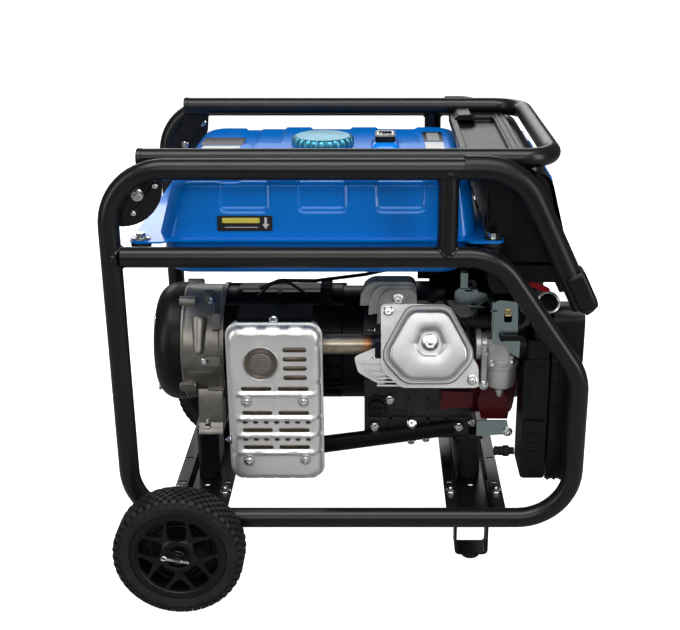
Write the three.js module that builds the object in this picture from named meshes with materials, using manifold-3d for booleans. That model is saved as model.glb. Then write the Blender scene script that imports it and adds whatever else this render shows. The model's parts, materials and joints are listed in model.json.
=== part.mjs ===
// Portable generator: an air-cooled engine and alternator hung in an open frame of bent tube,
// with the fuel tank on top, a sloping control panel at the right end, two wheels at the left
// end and a fold-over trolley handle. Millimetres, +Z up, +X from the wheels to the panel,
// -Y is the side with the muffler and the valve cover.
import * as THREE from 'three';
import { mergeVertices } from 'three/addons/utils/BufferGeometryUtils.js';
import Module from 'manifold-3d';

const wasm = await Module();
wasm.setup();

// ---- driving dimensions ------------------------------------------------------------------
const gap = 0.3;
const frame = {
  r: 15, side: 241, bend: 82, left: -335, right: 337, bottom: 122, mid: 542, top: 668,
  upperBendX: 237, upperSlope: 64.2, upperRun: 222, midBendX: 211, lowerSlope: 55.5,
  stubX: 139, gussetY: 230, gussetT: 4,
};
const rail = { leftX: -238, rightX: 193.5, top: 130, depth: 17, half: 46, web: 27, t: 3 };
const wheel = { x: -255.5, y: 294, r: 98, rimR: 71, half: 24, hubR: 19, axleR: 6, axleEnd: 8, sides: 28 };
const foot = { x: 193.5, y: 152, half: 27, padR: 15, padH: 12 };
const handle = {
  y: 208, z: 676, r: 14, left: -292, right: 290, bend: 52, pivotX: -294, pivotZ: 630, earR: 16,
};
const tank = {
  x0: -282, x1: 190, half: 205, flangeZ: 556, flangeT: 3, top: 646, bottom: 498, wall: 2,
  boltLeft: -298, boltRight: 206, boltY: 207, capX: -45, neckR: 32,
};
const shaft = { z: 320, r: 15 };
const alternator = {
  left: -321, bracketX: -273, bodyX: -204, end: 20, r: 98, bodyR: 95, footZ: 196,
};
const engine = {
  left: 20.3, right: 190, tilt: 20, cylinderX: 117, base: 187, shroudEnd: 262, recoilEnd: 312,
};
const muffler = { x0: -180, x1: -50, y0: -192, y1: -112, z0: 178, z1: 418 };
const panel = { x: 301.5, z: 584.5, lean: 14.5, half: 165, height: 84, t: 3 };
const air = { x0: 262, x1: 303, x2: 342, y0: -196, y1: -128, z0: 166, z1: 366 };
const mountY = 84;

const rad = THREE.MathUtils.degToRad;

// ---- solids ------------------------------------------------------------------------------
function solid(geometry) {
  const bare = geometry.clone();
  bare.deleteAttribute('normal');
  bare.deleteAttribute('uv');
  const welded = mergeVertices(bare, 1e-3);
  const corners = Array.from(welded.index.array);
  const kept = [];
  for (let i = 0; i < corners.length; i += 3) {
    const [a, b, c] = corners.slice(i, i + 3);
    if (a !== b && b !== c && c !== a) kept.push(a, b, c);
  }
  const vertProperties = new Float32Array(welded.attributes.position.array);
  const build = (list) => new wasm.Manifold(
    new wasm.Mesh({ numProp: 3, vertProperties, triVerts: new Uint32Array(list) }));
  const made = build(kept);
  return made.volume() < 0 ? build(kept.reverse()) : made;
}

function geometryOf(body) {
  const mesh = body.getMesh();
  const geometry = new THREE.BufferGeometry();
  geometry.setAttribute('position', new THREE.BufferAttribute(mesh.vertProperties, 3));
  geometry.setIndex(new THREE.BufferAttribute(mesh.triVerts, 1));
  return geometry;
}

const join = (...bodies) => bodies.reduce((all, next) => all.add(next));
const cut = (body, ...tools) => tools.reduce((left, tool) => left.subtract(tool), body);

function box(x0, x1, y0, y1, z0, z1) {
  const geometry = new THREE.BoxGeometry(x1 - x0, y1 - y0, z1 - z0);
  return solid(geometry.translate((x0 + x1) / 2, (y0 + y1) / 2, (z0 + z1) / 2));
}

// The three axes' own planes: an outline (u, v) is drawn as (Y, Z), (X, Z) or (X, Y).
const planes = {
  x: new THREE.Matrix4().makeBasis(
    new THREE.Vector3(0, 1, 0), new THREE.Vector3(0, 0, 1), new THREE.Vector3(1, 0, 0)),
  y: new THREE.Matrix4().makeBasis(
    new THREE.Vector3(1, 0, 0), new THREE.Vector3(0, 0, 1), new THREE.Vector3(0, -1, 0)),
  z: new THREE.Matrix4(),
};

// An outline pushed along an axis, from one coordinate to another.
function prism(outline, axis, from, to, curveSegments = 4) {
  const shape = Array.isArray(outline)
    ? new THREE.Shape(outline.map(([u, v]) => new THREE.Vector2(u, v)))
    : outline;
  const geometry = new THREE.ExtrudeGeometry(
    shape, { depth: to - from, bevelEnabled: false, curveSegments });
  geometry.applyMatrix4(planes[axis]);
  const start = axis === 'y' ? to : from;
  const move = new THREE.Vector3(...['x', 'y', 'z'].map((letter) => (letter === axis ? start : 0)));
  return solid(geometry.translate(move.x, move.y, move.z));
}

// A round bar along an axis; centre is the other two coordinates in X, Y, Z order.
function rod(axis, r, from, to, centre, sides = 16) {
  const geometry = new THREE.CylinderGeometry(r, r, to - from, sides);
  const middle = (from + to) / 2;
  const [u, v] = centre;
  if (axis === 'x') geometry.rotateZ(Math.PI / 2).translate(middle, u, v);
  if (axis === 'y') geometry.translate(u, middle, v);
  if (axis === 'z') geometry.rotateX(Math.PI / 2).translate(u, v, middle);
  return solid(geometry);
}

// A turned body: profile points are [radius, distance along the axis].
function turned(profile, axis, centre, sides = 24) {
  const points = profile.map(([r, along]) => new THREE.Vector2(r, along));
  const geometry = new THREE.LatheGeometry(points, sides);
  if (axis === 'x') geometry.rotateZ(-Math.PI / 2);
  if (axis === 'z') geometry.rotateX(Math.PI / 2);
  return solid(geometry.translate(...centre));
}

function roundedRect(u0, u1, v0, v1, r) {
  const shape = new THREE.Shape();
  shape.moveTo(u0 + r, v0);
  shape.lineTo(u1 - r, v0);
  shape.absarc(u1 - r, v0 + r, r, -Math.PI / 2, 0);
  shape.lineTo(u1, v1 - r);
  shape.absarc(u1 - r, v1 - r, r, 0, Math.PI / 2);
  shape.lineTo(u0 + r, v1);
  shape.absarc(u0 + r, v1 - r, r, Math.PI / 2, Math.PI);
  shape.lineTo(u0, v0 + r);
  shape.absarc(u0 + r, v0 + r, r, Math.PI, Math.PI * 1.5);
  return shape;
}

// A pressed-steel block: a rounded rectangle whose sides draw in by inset(t) as t goes 0 to 1 upward.
function pressed({ x0, x1, y0, y1, z0, z1, corner, inset, steps = 4 }) {
  const geometry = new THREE.ExtrudeGeometry(
    roundedRect(x0, x1, y0, y1, corner),
    { depth: z1 - z0, bevelEnabled: false, curveSegments: 2, steps });
  const at = geometry.attributes.position;
  const [cx, cy, hx, hy] = [(x0 + x1) / 2, (y0 + y1) / 2, (x1 - x0) / 2, (y1 - y0) / 2];
  for (let i = 0; i < at.count; i += 1) {
    const draw = inset(at.getZ(i) / (z1 - z0));
    at.setX(i, cx + (at.getX(i) - cx) * (1 - draw / hx));
    at.setY(i, cy + (at.getY(i) - cy) * (1 - draw / hy));
  }
  return solid(geometry.translate(0, 0, z0));
}

// A route of straight runs joined by round bends, which ExtrudeGeometry follows ring by ring.
class BentRoute extends THREE.Curve {
  constructor(corners, bend, arcSteps = 4) {
    super();
    const at = corners.map((corner) => new THREE.Vector3(...corner));
    this.rings = [];
    at.forEach((corner, i) => {
      const into = i > 0 ? corner.clone().sub(at[i - 1]).normalize() : null;
      const out = i < at.length - 1 ? at[i + 1].clone().sub(corner).normalize() : null;
      if (!into || !out) {
        this.rings.push({ point: corner, tangent: into || out });
        return;
      }
      const turn = into.angleTo(out);
      const axis = into.clone().cross(out).normalize();
      const inward = axis.clone().cross(into);
      const start = corner.clone().addScaledVector(into, -bend * Math.tan(turn / 2));
      const centre = start.clone().addScaledVector(inward, bend);
      for (let s = 0; s <= arcSteps; s += 1) {
        const angle = (turn * s) / arcSteps;
        const spoke = inward.clone().applyAxisAngle(axis, angle).multiplyScalar(-bend);
        const tangent = into.clone().applyAxisAngle(axis, angle);
        this.rings.push({ point: centre.clone().add(spoke), tangent });
      }
    });
  }

  blend(u, key, target) {
    const place = u * (this.rings.length - 1);
    const i = Math.min(Math.floor(place), this.rings.length - 2);
    return target.lerpVectors(this.rings[i][key], this.rings[i + 1][key], place - i);
  }

  getPoint(t, target = new THREE.Vector3()) {
    return this.blend(t, 'point', target);
  }

  getPointAt(u, target = new THREE.Vector3()) {
    return this.blend(u, 'point', target);
  }

  getTangentAt(u, target = new THREE.Vector3()) {
    return this.blend(u, 'tangent', target).normalize();
  }
}

function sweep(shape, corners, bend, arcSteps) {
  const extrudePath = new BentRoute(corners, bend, arcSteps);
  return solid(new THREE.ExtrudeGeometry(shape, { extrudePath, steps: extrudePath.rings.length - 1 }));
}

function circle(r, sides) {
  const points = [];
  for (let i = 0; i < sides; i += 1) {
    const angle = (i / sides) * Math.PI * 2;
    points.push(new THREE.Vector2(r * Math.cos(angle), r * Math.sin(angle)));
  }
  return new THREE.Shape(points);
}

function pipe(corners, r, bend, sides = 10, arcSteps = 4) {
  return sweep(circle(r, sides), corners, bend, arcSteps);
}

// ---- the scene graph ---------------------------------------------------------------------
const group = new THREE.Group();

function paint(color, roughness, metalness) {
  return new THREE.MeshStandardMaterial({ color, roughness, metalness });
}

const finishes = {
  frameBlack: () => paint(0x222427, 0.45, 0.2),
  plastic: () => paint(0x17181a, 0.5, 0),
  rubber: () => paint(0x151515, 0.85, 0),
  tankBlue: () => paint(0x005fb8, 0.15, 0.1),
  anodised: () => paint(0x2f9fc8, 0.3, 0.9),
  castGrey: () => paint(0x8c867c, 0.55, 0.8),
  brightCast: () => paint(0xb9bab8, 0.45, 0.85),
  darkCast: () => paint(0x3e3e40, 0.5, 0.6),
  shieldSilver: () => paint(0xc8c9c9, 0.35, 0.85),
  zinc: () => paint(0x87958f, 0.35, 0.9),
  darkRed: () => paint(0x4a0710, 0.3, 0.2),
  red: () => paint(0xb01020, 0.4, 0),
  heatSteel: () => paint(0xa8977c, 0.4, 0.9),
  glossBlack: () => paint(0x0e0f10, 0.2, 0.2),
  screen: () => paint(0x1d2a24, 0.1, 0),
};

function add(name, body, finish, parent = group) {
  const mesh = new THREE.Mesh(geometryOf(body), finishes[finish]());
  mesh.name = name;
  parent.add(mesh);
}

// Does the same for the near side (-1) and the far side (+1).
function bothSides(make) {
  make(-1, 'near');
  make(1, 'far');
}

// A stretch of Y measured outward from the middle, mirrored to the given side.
const span = (side, inner, outer) => (side < 0 ? [-outer, -inner] : [inner, outer]);

// ---- frame -------------------------------------------------------------------------------
const upperEnd = [
  frame.upperBendX + frame.upperRun * Math.cos(rad(frame.upperSlope)),
  frame.top - frame.upperRun * Math.sin(rad(frame.upperSlope)),
];

function tankBracket(side, x) {
  const [y0, y1] = span(side, 190, 236);
  return box(x - 20, x + 20, y0, y1, 528, 532);
}

// The handle turns on a bolt held in the gusset, with its head outside and its nut inside.
function pivotBolt(side) {
  const at = [handle.pivotX, handle.pivotZ];
  return join(
    rod('y', 5, ...span(side, 214, 236), at, 12), rod('y', 9, ...span(side, 231, 239), at, 6),
    rod('y', 8, ...span(side, 213, 219.6), at, 6));
}

function sideFrame(side, name) {
  const y = side * frame.side;
  const rightBendZ = frame.mid - (frame.right - frame.midBendX) * Math.tan(rad(frame.lowerSlope));
  const route = [
    upperEnd, [frame.upperBendX, frame.top], [frame.left, frame.top], [frame.left, frame.bottom],
    [frame.right, frame.bottom], [frame.right, rightBendZ], [frame.midBendX, frame.mid],
    [frame.left + frame.r + 1, frame.mid],
  ];
  const loop = pipe(route.map(([x, z]) => [x, y, z]), frame.r, frame.bend);
  const stub = rod('z', 14.5, frame.mid, frame.top, [frame.stubX, y], 12);
  const weld = rod('x', frame.r + 2, frame.left + 4, frame.left + frame.r + 6, [y, frame.mid], 12);
  const [g0, g1] = span(side, frame.gussetY - frame.gussetT / 2, frame.gussetY + frame.gussetT / 2);
  const corner = new THREE.Shape();
  corner.moveTo(-335, 577);
  corner.lineTo(-316, 577);
  corner.quadraticCurveTo(-262, 585, -258, 642);
  corner.lineTo(-253, 668);
  corner.absarc(-253, 586, 82, Math.PI / 2, Math.PI);
  const gusset = prism(corner, 'y', g0, g1, 4);
  const brackets = [tank.boltLeft, tank.boltRight].map((x) => tankBracket(side, x));
  const body = join(loop, stub, weld, gusset, pivotBolt(side), ...brackets);
  add(`side_frame_${name}`, body, 'frameBlack');
}

function hatRail(x) {
  const { top, depth, half, web, t } = rail;
  const outline = [
    [-half, top], [-web, top], [-web + 4, top - depth], [web - 4, top - depth], [web, top], [half, top],
    [half, top - t], [web + 3, top - t], [web - 1, top - depth - t], [1 - web, top - depth - t],
    [-web - 3, top - t], [-half, top - t],
  ].map(([u, v]) => [x + u, v]);
  const reach = frame.side - frame.r - gap;
  return prism(outline, 'y', -reach, reach);
}

function rails() {
  add('rail_left', hatRail(rail.leftX), 'frameBlack');
  const legs = [];
  bothSides((side) => {
    const [y0, y1] = span(side, foot.y - 20, foot.y + 20);
    const { x, half, padH } = foot;
    legs.push(
      box(x - half, x + half, y0, y1, padH, padH + 3),
      box(x - half, x - half + 3, y0, y1, padH, rail.top - 1),
      box(x + half - 3, x + half, y0, y1, padH, rail.top - 1));
  });
  add('rail_right', join(hatRail(rail.rightX), ...legs), 'frameBlack');
}

function footPads() {
  const { x, y, padR, padH } = foot;
  const profile = [[0, 0], [padR - 1, 0], [padR, 2], [padR - 2, padH - gap], [0, padH - gap]];
  bothSides((side, name) => {
    add(`foot_pad_${name}`, turned(profile, 'z', [x, side * y, 0], 20), 'rubber');
  });
}

// ---- wheels ------------------------------------------------------------------------------
function axle() {
  const reach = wheel.y + wheel.half + wheel.axleEnd;
  const bar = rod('y', wheel.axleR, -reach, reach, [wheel.x, wheel.r], 16);
  const lugs = [];
  bothSides((side) => {
    const [y0, y1] = span(side, 196, 212);
    lugs.push(box(wheel.x - 12, wheel.x + 12, y0, y1, wheel.r - 11, rail.top - rail.depth - rail.t - gap));
  });
  add('axle', join(bar, ...lugs), 'frameBlack');
}

function tyre(side, name) {
  const { r, rimR, half } = wheel;
  const profile = [
    [rimR + 2, -half + 3], [r - 12, -half], [r - 3, -half + 5], [r, -half + 13], [r, half - 13],
    [r - 3, half - 5], [r - 12, half], [rimR + 2, half - 3], [rimR + 2, -half + 3],
  ];
  add(`tyre_${name}`, turned(profile, 'y', [wheel.x, side * wheel.y, r], wheel.sides), 'rubber');
}

function rim(side, name) {
  const { rimR, hubR, axleR, half } = wheel;
  const outer = rimR + 2 - gap;
  const profile = [
    [axleR + 0.4, -half], [hubR, -half], [hubR, -5], [rimR - 8, -5], [rimR - 6, -half + 5],
    [outer, -half + 5], [outer, half - 5], [rimR - 6, half - 5], [rimR - 8, 5], [hubR, 5],
    [hubR, half], [axleR + 0.4, half], [axleR + 0.4, -half],
  ];
  const centre = [wheel.x, side * wheel.y, wheel.r];
  const windows = [];
  for (let i = 0; i < 5; i += 1) {
    const middle = Math.PI / 2 + (i * Math.PI * 2) / 5;
    const reach = (angle, r) => [centre[0] + r * Math.cos(angle), centre[2] + r * Math.sin(angle)];
    const outline = [
      reach(middle - 0.12, 25), reach(middle - 0.42, 54), reach(middle, 56), reach(middle + 0.42, 54),
      reach(middle + 0.12, 25),
    ];
    windows.push(prism(outline, 'y', centre[1] - 8, centre[1] + 8));
  }
  add(`rim_${name}`, cut(turned(profile, 'y', centre, wheel.sides), ...windows), 'plastic');
}

// ---- trolley handle ----------------------------------------------------------------------
function trolleyHandle() {
  const { y, z, r, left, right, bend, pivotX, pivotZ, earR } = handle;
  const bow = pipe([[left, -y, z], [right, -y, z], [right, y, z], [left, y, z]], r, bend);
  const plates = [];
  bothSides((side) => {
    const [y0, y1] = span(side, 220, 224);
    const ear = new THREE.Shape();
    ear.moveTo(pivotX + 8, z + 4);
    ear.lineTo(pivotX - earR, pivotZ);
    ear.absarc(pivotX, pivotZ, earR, Math.PI, Math.PI * 2);
    ear.lineTo(pivotX + 46, z - 10);
    ear.lineTo(pivotX + 46, z + 4);
    plates.push(cut(
      prism(ear, 'y', y0, y1, 6), rod('y', 5.4, y0 - 1, y1 + 1, [pivotX, pivotZ], 12)));
  });
  add('trolley_handle', join(bow, ...plates), 'frameBlack');
}

// ---- fuel tank ---------------------------------------------------------------------------
const gauge = { boss: 9, height: 11 };
const shoulder = (t) => 5 + 12 * t + (t > 0.9 ? 20 : 0);
const sump = (t) => (t < 0.3 ? 16 : 0);

function fuelTank() {
  const { x0, x1, half, flangeZ, flangeT, top, bottom, wall, capX, neckR } = tank;
  const upper = (s, z0, z1) => pressed({
    x0: x0 + s, x1: x1 - s, y0: -half + s, y1: half - s, z0, z1, corner: 36 - s, inset: shoulder });
  const lower = (s, z0, z1) => pressed({
    x0: x0 + 10 + s, x1: x1 - 18 - s, y0: -half + 14 + s, y1: half - 14 - s, z0, z1,
    corner: 34 - s, inset: sump, steps: 3 });
  const flange = prism(roundedRect(x0 - 8, x1 + 8, -half - 7, half + 7, 38), 'z', flangeZ, flangeZ + flangeT);
  const tabs = [];
  const holes = [];
  bothSides((side) => {
    [tank.boltLeft, tank.boltRight].forEach((x) => {
      const inward = x < 0 ? 40 : -40;
      const [y0, y1] = span(side, 188, 222);
      tabs.push(prism(
        roundedRect(Math.min(x - 16, x + inward), Math.max(x + 16, x + inward), y0, y1, 12), 'z',
        flangeZ, flangeZ + flangeT));
      holes.push(rod('z', 6.4, flangeZ - 2, flangeZ + flangeT + 2, [x, side * tank.boltY], 12));
    });
  });
  const neck = rod('z', neckR, top - 10, top + 9, [capX, 0], 24);
  const mouth = rod('z', neckR - 2, top - 14, top + 12, [capX, 0], 24);
  const gaugeBoss = pressed({
    x0: 30, x1: 76, y0: -16, y1: 60, z0: top - 1, z1: top + gauge.boss, corner: 12, inset: (t) => 6 * t,
    steps: 2 });
  const rimZ = flangeZ + flangeT;
  const shell = join(
    upper(0, flangeZ, top), lower(0, bottom, flangeZ + 1), flange, ...tabs, neck, gaugeBoss);
  const hollow = join(upper(wall, rimZ, top - wall), lower(wall, bottom + wall, rimZ + 1), mouth);
  add('fuel_tank', cut(shell, hollow, ...holes), 'tankBlue');
}

function tankMounts() {
  let count = 0;
  [tank.boltLeft, tank.boltRight].forEach((x) => bothSides((side) => {
    count += 1;
    const y = side * tank.boltY;
    const bush = rod('z', 13, 532 + gap, tank.flangeZ - gap, [x, y], 16);
    const bolt = rod('z', 5, 540, 566, [x, y], 12);
    const washer = rod('z', 14, tank.flangeZ + tank.flangeT + gap, 561.5, [x, y], 16);
    const head = rod('z', 8, 561, 568, [x, y], 6);
    add(`tank_mount_${count}`, join(bush, bolt, washer, head), 'rubber');
  }));
}

function fuelCap() {
  const { top, capX, neckR } = tank;
  const scallops = new THREE.Shape();
  const lobes = 24;
  for (let i = 0; i < lobes * 2; i += 1) {
    const angle = (i * Math.PI) / lobes;
    const r = i % 2 ? 47.6 : 49;
    const point = [capX + r * Math.cos(angle), r * Math.sin(angle)];
    if (i === 0) scallops.moveTo(...point);
    else scallops.lineTo(...point);
  }
  const knob = prism(scallops, 'z', top + 3, top + 20);
  const crown = turned([[0, 0], [44, 0], [42, 3], [0, 4]], 'z', [capX, 0, top + 19], 24);
  const inside = rod('z', neckR + 1, top + 2, top + 10, [capX, 0], 24);
  add('fuel_cap', cut(join(knob, crown), inside), 'anodised');
}

function fuelGauge() {
  const base = tank.top + gauge.boss + gap;
  add('fuel_gauge', prism(roundedRect(37, 69, 0, 52, 7), 'z', base, base + gauge.height), 'glossBlack');
}

// ---- control panel -----------------------------------------------------------------------
// The plate's back and front, in the face's own frame; what is fitted to it stands in front.
const plateX = [-8.6, -6.3];
const frontX = plateX[1] + gap;

const face = new THREE.Group();
face.position.set(panel.x, 0, panel.z);
face.rotation.y = -rad(panel.lean);

// The panel's own frame: +X out of its face, +Z up its slope, origin at the middle of the face.
function worldOf(body) {
  const turn = new THREE.Matrix4().makeRotationY(-rad(panel.lean));
  turn.setPosition(panel.x, 0, panel.z);
  return solid(geometryOf(body).applyMatrix4(turn));
}

function controlBox() {
  const half = 186;
  const outer = (s, xEnd) => [
    [214 + s, 517 + s], [214 + s, 563 + s], [199 + s, 563 + s], [199 + s, 648 - s], [268, 648 - s],
    [xEnd - 25, 636 - s], [xEnd, 517 + s],
  ];
  const shell = prism(outer(0, 305), 'y', -half, half);
  const hollow = prism(outer(2.5, 345), 'y', -half + 2.5, half - 2.5);
  const front = worldOf(box(plateX[0] - gap, 80, -260, 260, -160, 160));
  const fins = [];
  bothSides((side) => {
    const [y0, y1] = span(side, half - 1, half + 12);
    fins.push(prism([[199, 644], [224, 644], [215, 576], [203, 576]], 'y', y0, y1));
  });
  add('control_box', join(cut(shell, hollow, front), ...fins), 'plastic');
}

function tubeCovers() {
  const half = new THREE.Shape();
  half.absarc(0, 0, 20, Math.PI / 2, Math.PI * 1.5);
  half.lineTo(0, -frame.r - 0.6);
  half.absarc(0, 0, frame.r + 0.6, Math.PI * 1.5, Math.PI / 2, true);
  const over = 8;
  const slope = rad(frame.upperSlope);
  const path = [
    [160, frame.top], [frame.upperBendX, frame.top],
    [upperEnd[0] + over * Math.cos(slope), upperEnd[1] - over * Math.sin(slope)],
  ];
  return [-1, 1].map((side) => {
    const route = path.map(([x, z]) => [x, side * frame.side, z]);
    const extrudePath = new BentRoute(route, frame.bend);
    const steps = extrudePath.rings.length - 1;
    return solid(new THREE.ExtrudeGeometry(half, { extrudePath, steps, curveSegments: 5 }));
  });
}

function fascia() {
  const outer = new THREE.Shape();
  outer.moveTo(166, 654);
  outer.lineTo(166, 659);
  outer.lineTo(262, 659);
  outer.quadraticCurveTo(283, 657, 287.5, 641);
  outer.lineTo(322, 507.5);
  outer.lineTo(316, 506);
  outer.lineTo(281, 640);
  outer.quadraticCurveTo(278, 653, 262, 654);
  const skin = prism(outer, 'y', -225.2, 225.2, 6);
  const cheeks = [];
  bothSides((side) => {
    const [y0, y1] = span(side, 221.2, 225.2);
    cheeks.push(prism(
      [[220, 654], [262, 657], [283, 646], [287.5, 641], [322, 507.5], [338, 478], [326, 470]], 'y', y0, y1));
  });
  const cap = cut(
    prism(roundedRect(163, 262, -184, 184, 10), 'z', 655, 669),
    prism(roundedRect(172, 240, -150, 150, 8), 'z', 661, 672));
  const window = worldOf(box(-12, 12, -panel.half, panel.half, -panel.height / 2, panel.height / 2));
  add('panel_fascia', cut(join(skin, cap, ...cheeks, ...tubeCovers()), window), 'plastic');
}

const outlets = [-112, -46];
const breaker = { y: 20, z: 0 };
const starter = { y: 66, z: -4 };
const meter = { y: 120, z: 4 };

function panelPlate() {
  const plate = box(...plateX, -panel.half - 8, panel.half + 8, -panel.height / 2 - 5, panel.height / 2 + 5);
  const holes = outlets.map((y) => rod('x', 22.8, -12, 0, [y, -8], 16));
  holes.push(
    box(-12, 0, breaker.y - 10.4, breaker.y + 10.4, -16.4, 16.4),
    rod('x', 12.4, -12, 0, [starter.y, starter.z], 20),
    box(-12, 0, meter.y - 24.4, meter.y + 24.4, meter.z - 15.4, meter.z + 15.4));
  add('panel_plate', cut(plate, ...holes), 'tankBlue', face);
}

function outletSocket(y, index) {
  const flange = prism(roundedRect(y - 27, y + 27, -35, 19, 6), 'x', frontX, 3, 2);
  const barrel = rod('x', 22, -42, -4, [y, -8], 16);
  const well = rod('x', 19, -30, 4, [y, -8], 16);
  const ears = [-1, 1].map((side) => box(frontX, 8, y + side * 22 - 3, y + side * 22 + 3, 17, 26));
  const pin = rod('y', 2, y - 22, y + 22, [5, 23], 10);
  add(`outlet_socket_${index}`, join(cut(join(flange, barrel), well), ...ears, pin), 'plastic', face);
}

function outletLid(y, index) {
  const disc = prism(roundedRect(y - 25, y + 25, -33, 16, 8), 'x', 3 + gap, 7, 2);
  const barrel = rod('y', 4, y - 18.5, y + 18.5, [5, 23], 12);
  const bridge = box(3 + gap, 6.6, y - 16, y + 16, 14, 21);
  const bore = rod('y', 2.3, y - 20, y + 20, [5, 23], 12);
  add(`outlet_lid_${index}`, cut(join(disc, barrel, bridge), bore), 'plastic', face);
}

function panelControls() {
  const button = join(
    box(-24, -3, breaker.y - 10, breaker.y + 10, -16, 16), box(-4, 2, breaker.y - 8, breaker.y + 8, -13, 13));
  add('breaker_button', button, 'glossBlack', face);
  const knob = join(
    rod('x', 12, -26, -5, [starter.y, starter.z], 20),
    rod('x', 18, frontX, 1, [starter.y, starter.z], 20),
    box(0, 12, starter.y - 4, starter.y + 4, starter.z - 14, starter.z + 14));
  add('engine_switch', knob, 'plastic', face);
  const display = join(
    box(-20, -4, meter.y - 24, meter.y + 24, meter.z - 15, meter.z + 15),
    prism(roundedRect(meter.y - 27, meter.y + 27, meter.z - 18, meter.z + 18, 3), 'x', frontX, -1, 2));
  add('voltmeter', display, 'screen', face);
}

// ---- alternator --------------------------------------------------------------------------
function alternatorCover() {
  const { left, bracketX, r } = alternator;
  const profile = [
    [0, left], [66, left], [83, left + 5], [r - 4, left + 17], [r, left + 32], [r, bracketX - gap],
    [r - 3, bracketX - gap], [r - 3, left + 33], [r - 7, left + 19], [81, left + 9], [65, left + 4],
    [0, left + 4],
  ];
  const slots = [];
  for (let i = -2; i <= 2; i += 1) {
    const reach = 58 - 6 * Math.abs(i);
    slots.push(box(left - 2, left + 8, -reach, reach, shaft.z + i * 24 - 5, shaft.z + i * 24 + 5));
  }
  add('alternator_cover', cut(turned(profile, 'x', [0, 0, shaft.z], 24), ...slots), 'plastic');
}

function alternatorBracket() {
  const { bracketX, bodyX, r, footZ } = alternator;
  const ring = turned(
    [[r - 12, bracketX], [r - 1, bracketX], [r - 1, bodyX - gap], [r - 12, bodyX - gap], [r - 12, bracketX]],
    'x', [0, 0, shaft.z], 28);
  const hub = rod('x', 30, bracketX + 4, bodyX - 12, [0, shaft.z], 20);
  const spokes = [];
  for (let i = 0; i < 6; i += 1) {
    const arm = new THREE.BoxGeometry(10, 14, 96).translate(bracketX + 12, 0, 48);
    spokes.push(solid(arm.rotateX((i * Math.PI) / 3).translate(0, 0, shaft.z)));
  }
  const footX0 = bracketX + 20;
  const legs = join(
    box(footX0, bodyX - 4, -92, -60, footZ + 6, 264), box(footX0, bodyX - 4, 60, 92, footZ + 6, 264),
    box(footX0, bodyX - 2, -108, 108, footZ, footZ + 12));
  const bore = rod('x', shaft.r + 0.5, bracketX - 1, bodyX, [0, shaft.z], 20);
  const clear = rod('x', r - 12, bracketX + 18, bodyX + 2, [0, shaft.z], 32);
  const body = join(ring, hub, ...spokes, cut(legs, clear));
  add('alternator_bracket', cut(body, bore), 'castGrey');
}

function stator() {
  const { bodyX, end, bodyR } = alternator;
  const profile = [
    [bodyR - 4, bodyX], [bodyR, bodyX], [bodyR, end], [bodyR - 4, end], [bodyR - 4, end - 40], [72, end - 40],
    [72, bodyX + 30], [bodyR - 4, bodyX + 30], [bodyR - 4, bodyX],
  ];
  add('stator', turned(profile, 'x', [0, 0, shaft.z], 28), 'glossBlack');
}

function rotor() {
  const { bracketX, bodyX, end } = alternator;
  const core = rod('x', 70, bodyX + 34, end - 44, [0, shaft.z], 24);
  const bar = rod('x', shaft.r, bracketX + 6, engine.shroudEnd - 4, [0, shaft.z], 20);
  add('rotor_shaft', join(core, bar), 'darkCast');
}

// ---- engine ------------------------------------------------------------------------------
// Bodies drawn along the cylinder: y0 and y1 are distances from the crankshaft towards the
// valve cover, z is across the cylinder, before the whole is leaned over.
function leaned(body) {
  const turn = new THREE.Matrix4().makeRotationX(-rad(engine.tilt));
  turn.setPosition(0, 0, shaft.z);
  return solid(geometryOf(body).applyMatrix4(turn));
}

function crankcase() {
  const { left, right, base, cylinderX } = engine;
  const bore = rod('x', shaft.r + 0.5, left - 5, right + 5, [0, shaft.z], 20);
  const drum = rod('x', 100, left, right, [0, shaft.z], 28);
  const sump = prism(roundedRect(-108, 96, base, 300, 14), 'x', left, right);
  const block = leaned(box(cylinderX - 58, cylinderX + 58, -149.7, -40, -56, 56));
  const fins = [];
  for (let i = 0; i < 5; i += 1) {
    const t = 100 + i * 10;
    fins.push(leaned(box(cylinderX - 68, cylinderX + 68, -t - 3, -t, -66, 66)));
  }
  const fillerBoss = rod('y', 17, -116, -100, [40.7, 251.5], 16);
  const fillerHole = rod('y', 11.4, -120, -88, [40.7, 251.5], 16);
  const feet = [-1, 1].map((side) => box(
    right - 20, rail.rightX + 20, side * mountY - 19, side * mountY + 19, base, base + 9));
  add('crankcase', cut(join(drum, sump, block, ...fins, fillerBoss, ...feet), bore, fillerHole), 'darkCast');
}

function dipstick() {
  const at = [40.7, 251.5];
  const head = rod('y', 15, -128, -116.4, at, 16);
  const stem = rod('y', 11, -117, -94, at, 16);
  add('oil_dipstick', join(head, stem), 'plastic');
}

function cylinderHead() {
  const { cylinderX } = engine;
  const block = leaned(prism(roundedRect(cylinderX - 70, cylinderX + 72, -62, 62, 10), 'y', -196, -150));
  const lug = [[-112, -34], [-66, -58], [-66, -28], [-98, -26]].map(([x, z]) => [cylinderX + x, z]);
  const wing = leaned(prism(lug, 'y', -170, -152));
  const plate = leaned(prism(roundedRect(cylinderX - 58, cylinderX + 60, -58, 58, 22), 'y', -203, -195));
  add('cylinder_head', join(block, wing, plate), 'brightCast');
}

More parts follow.
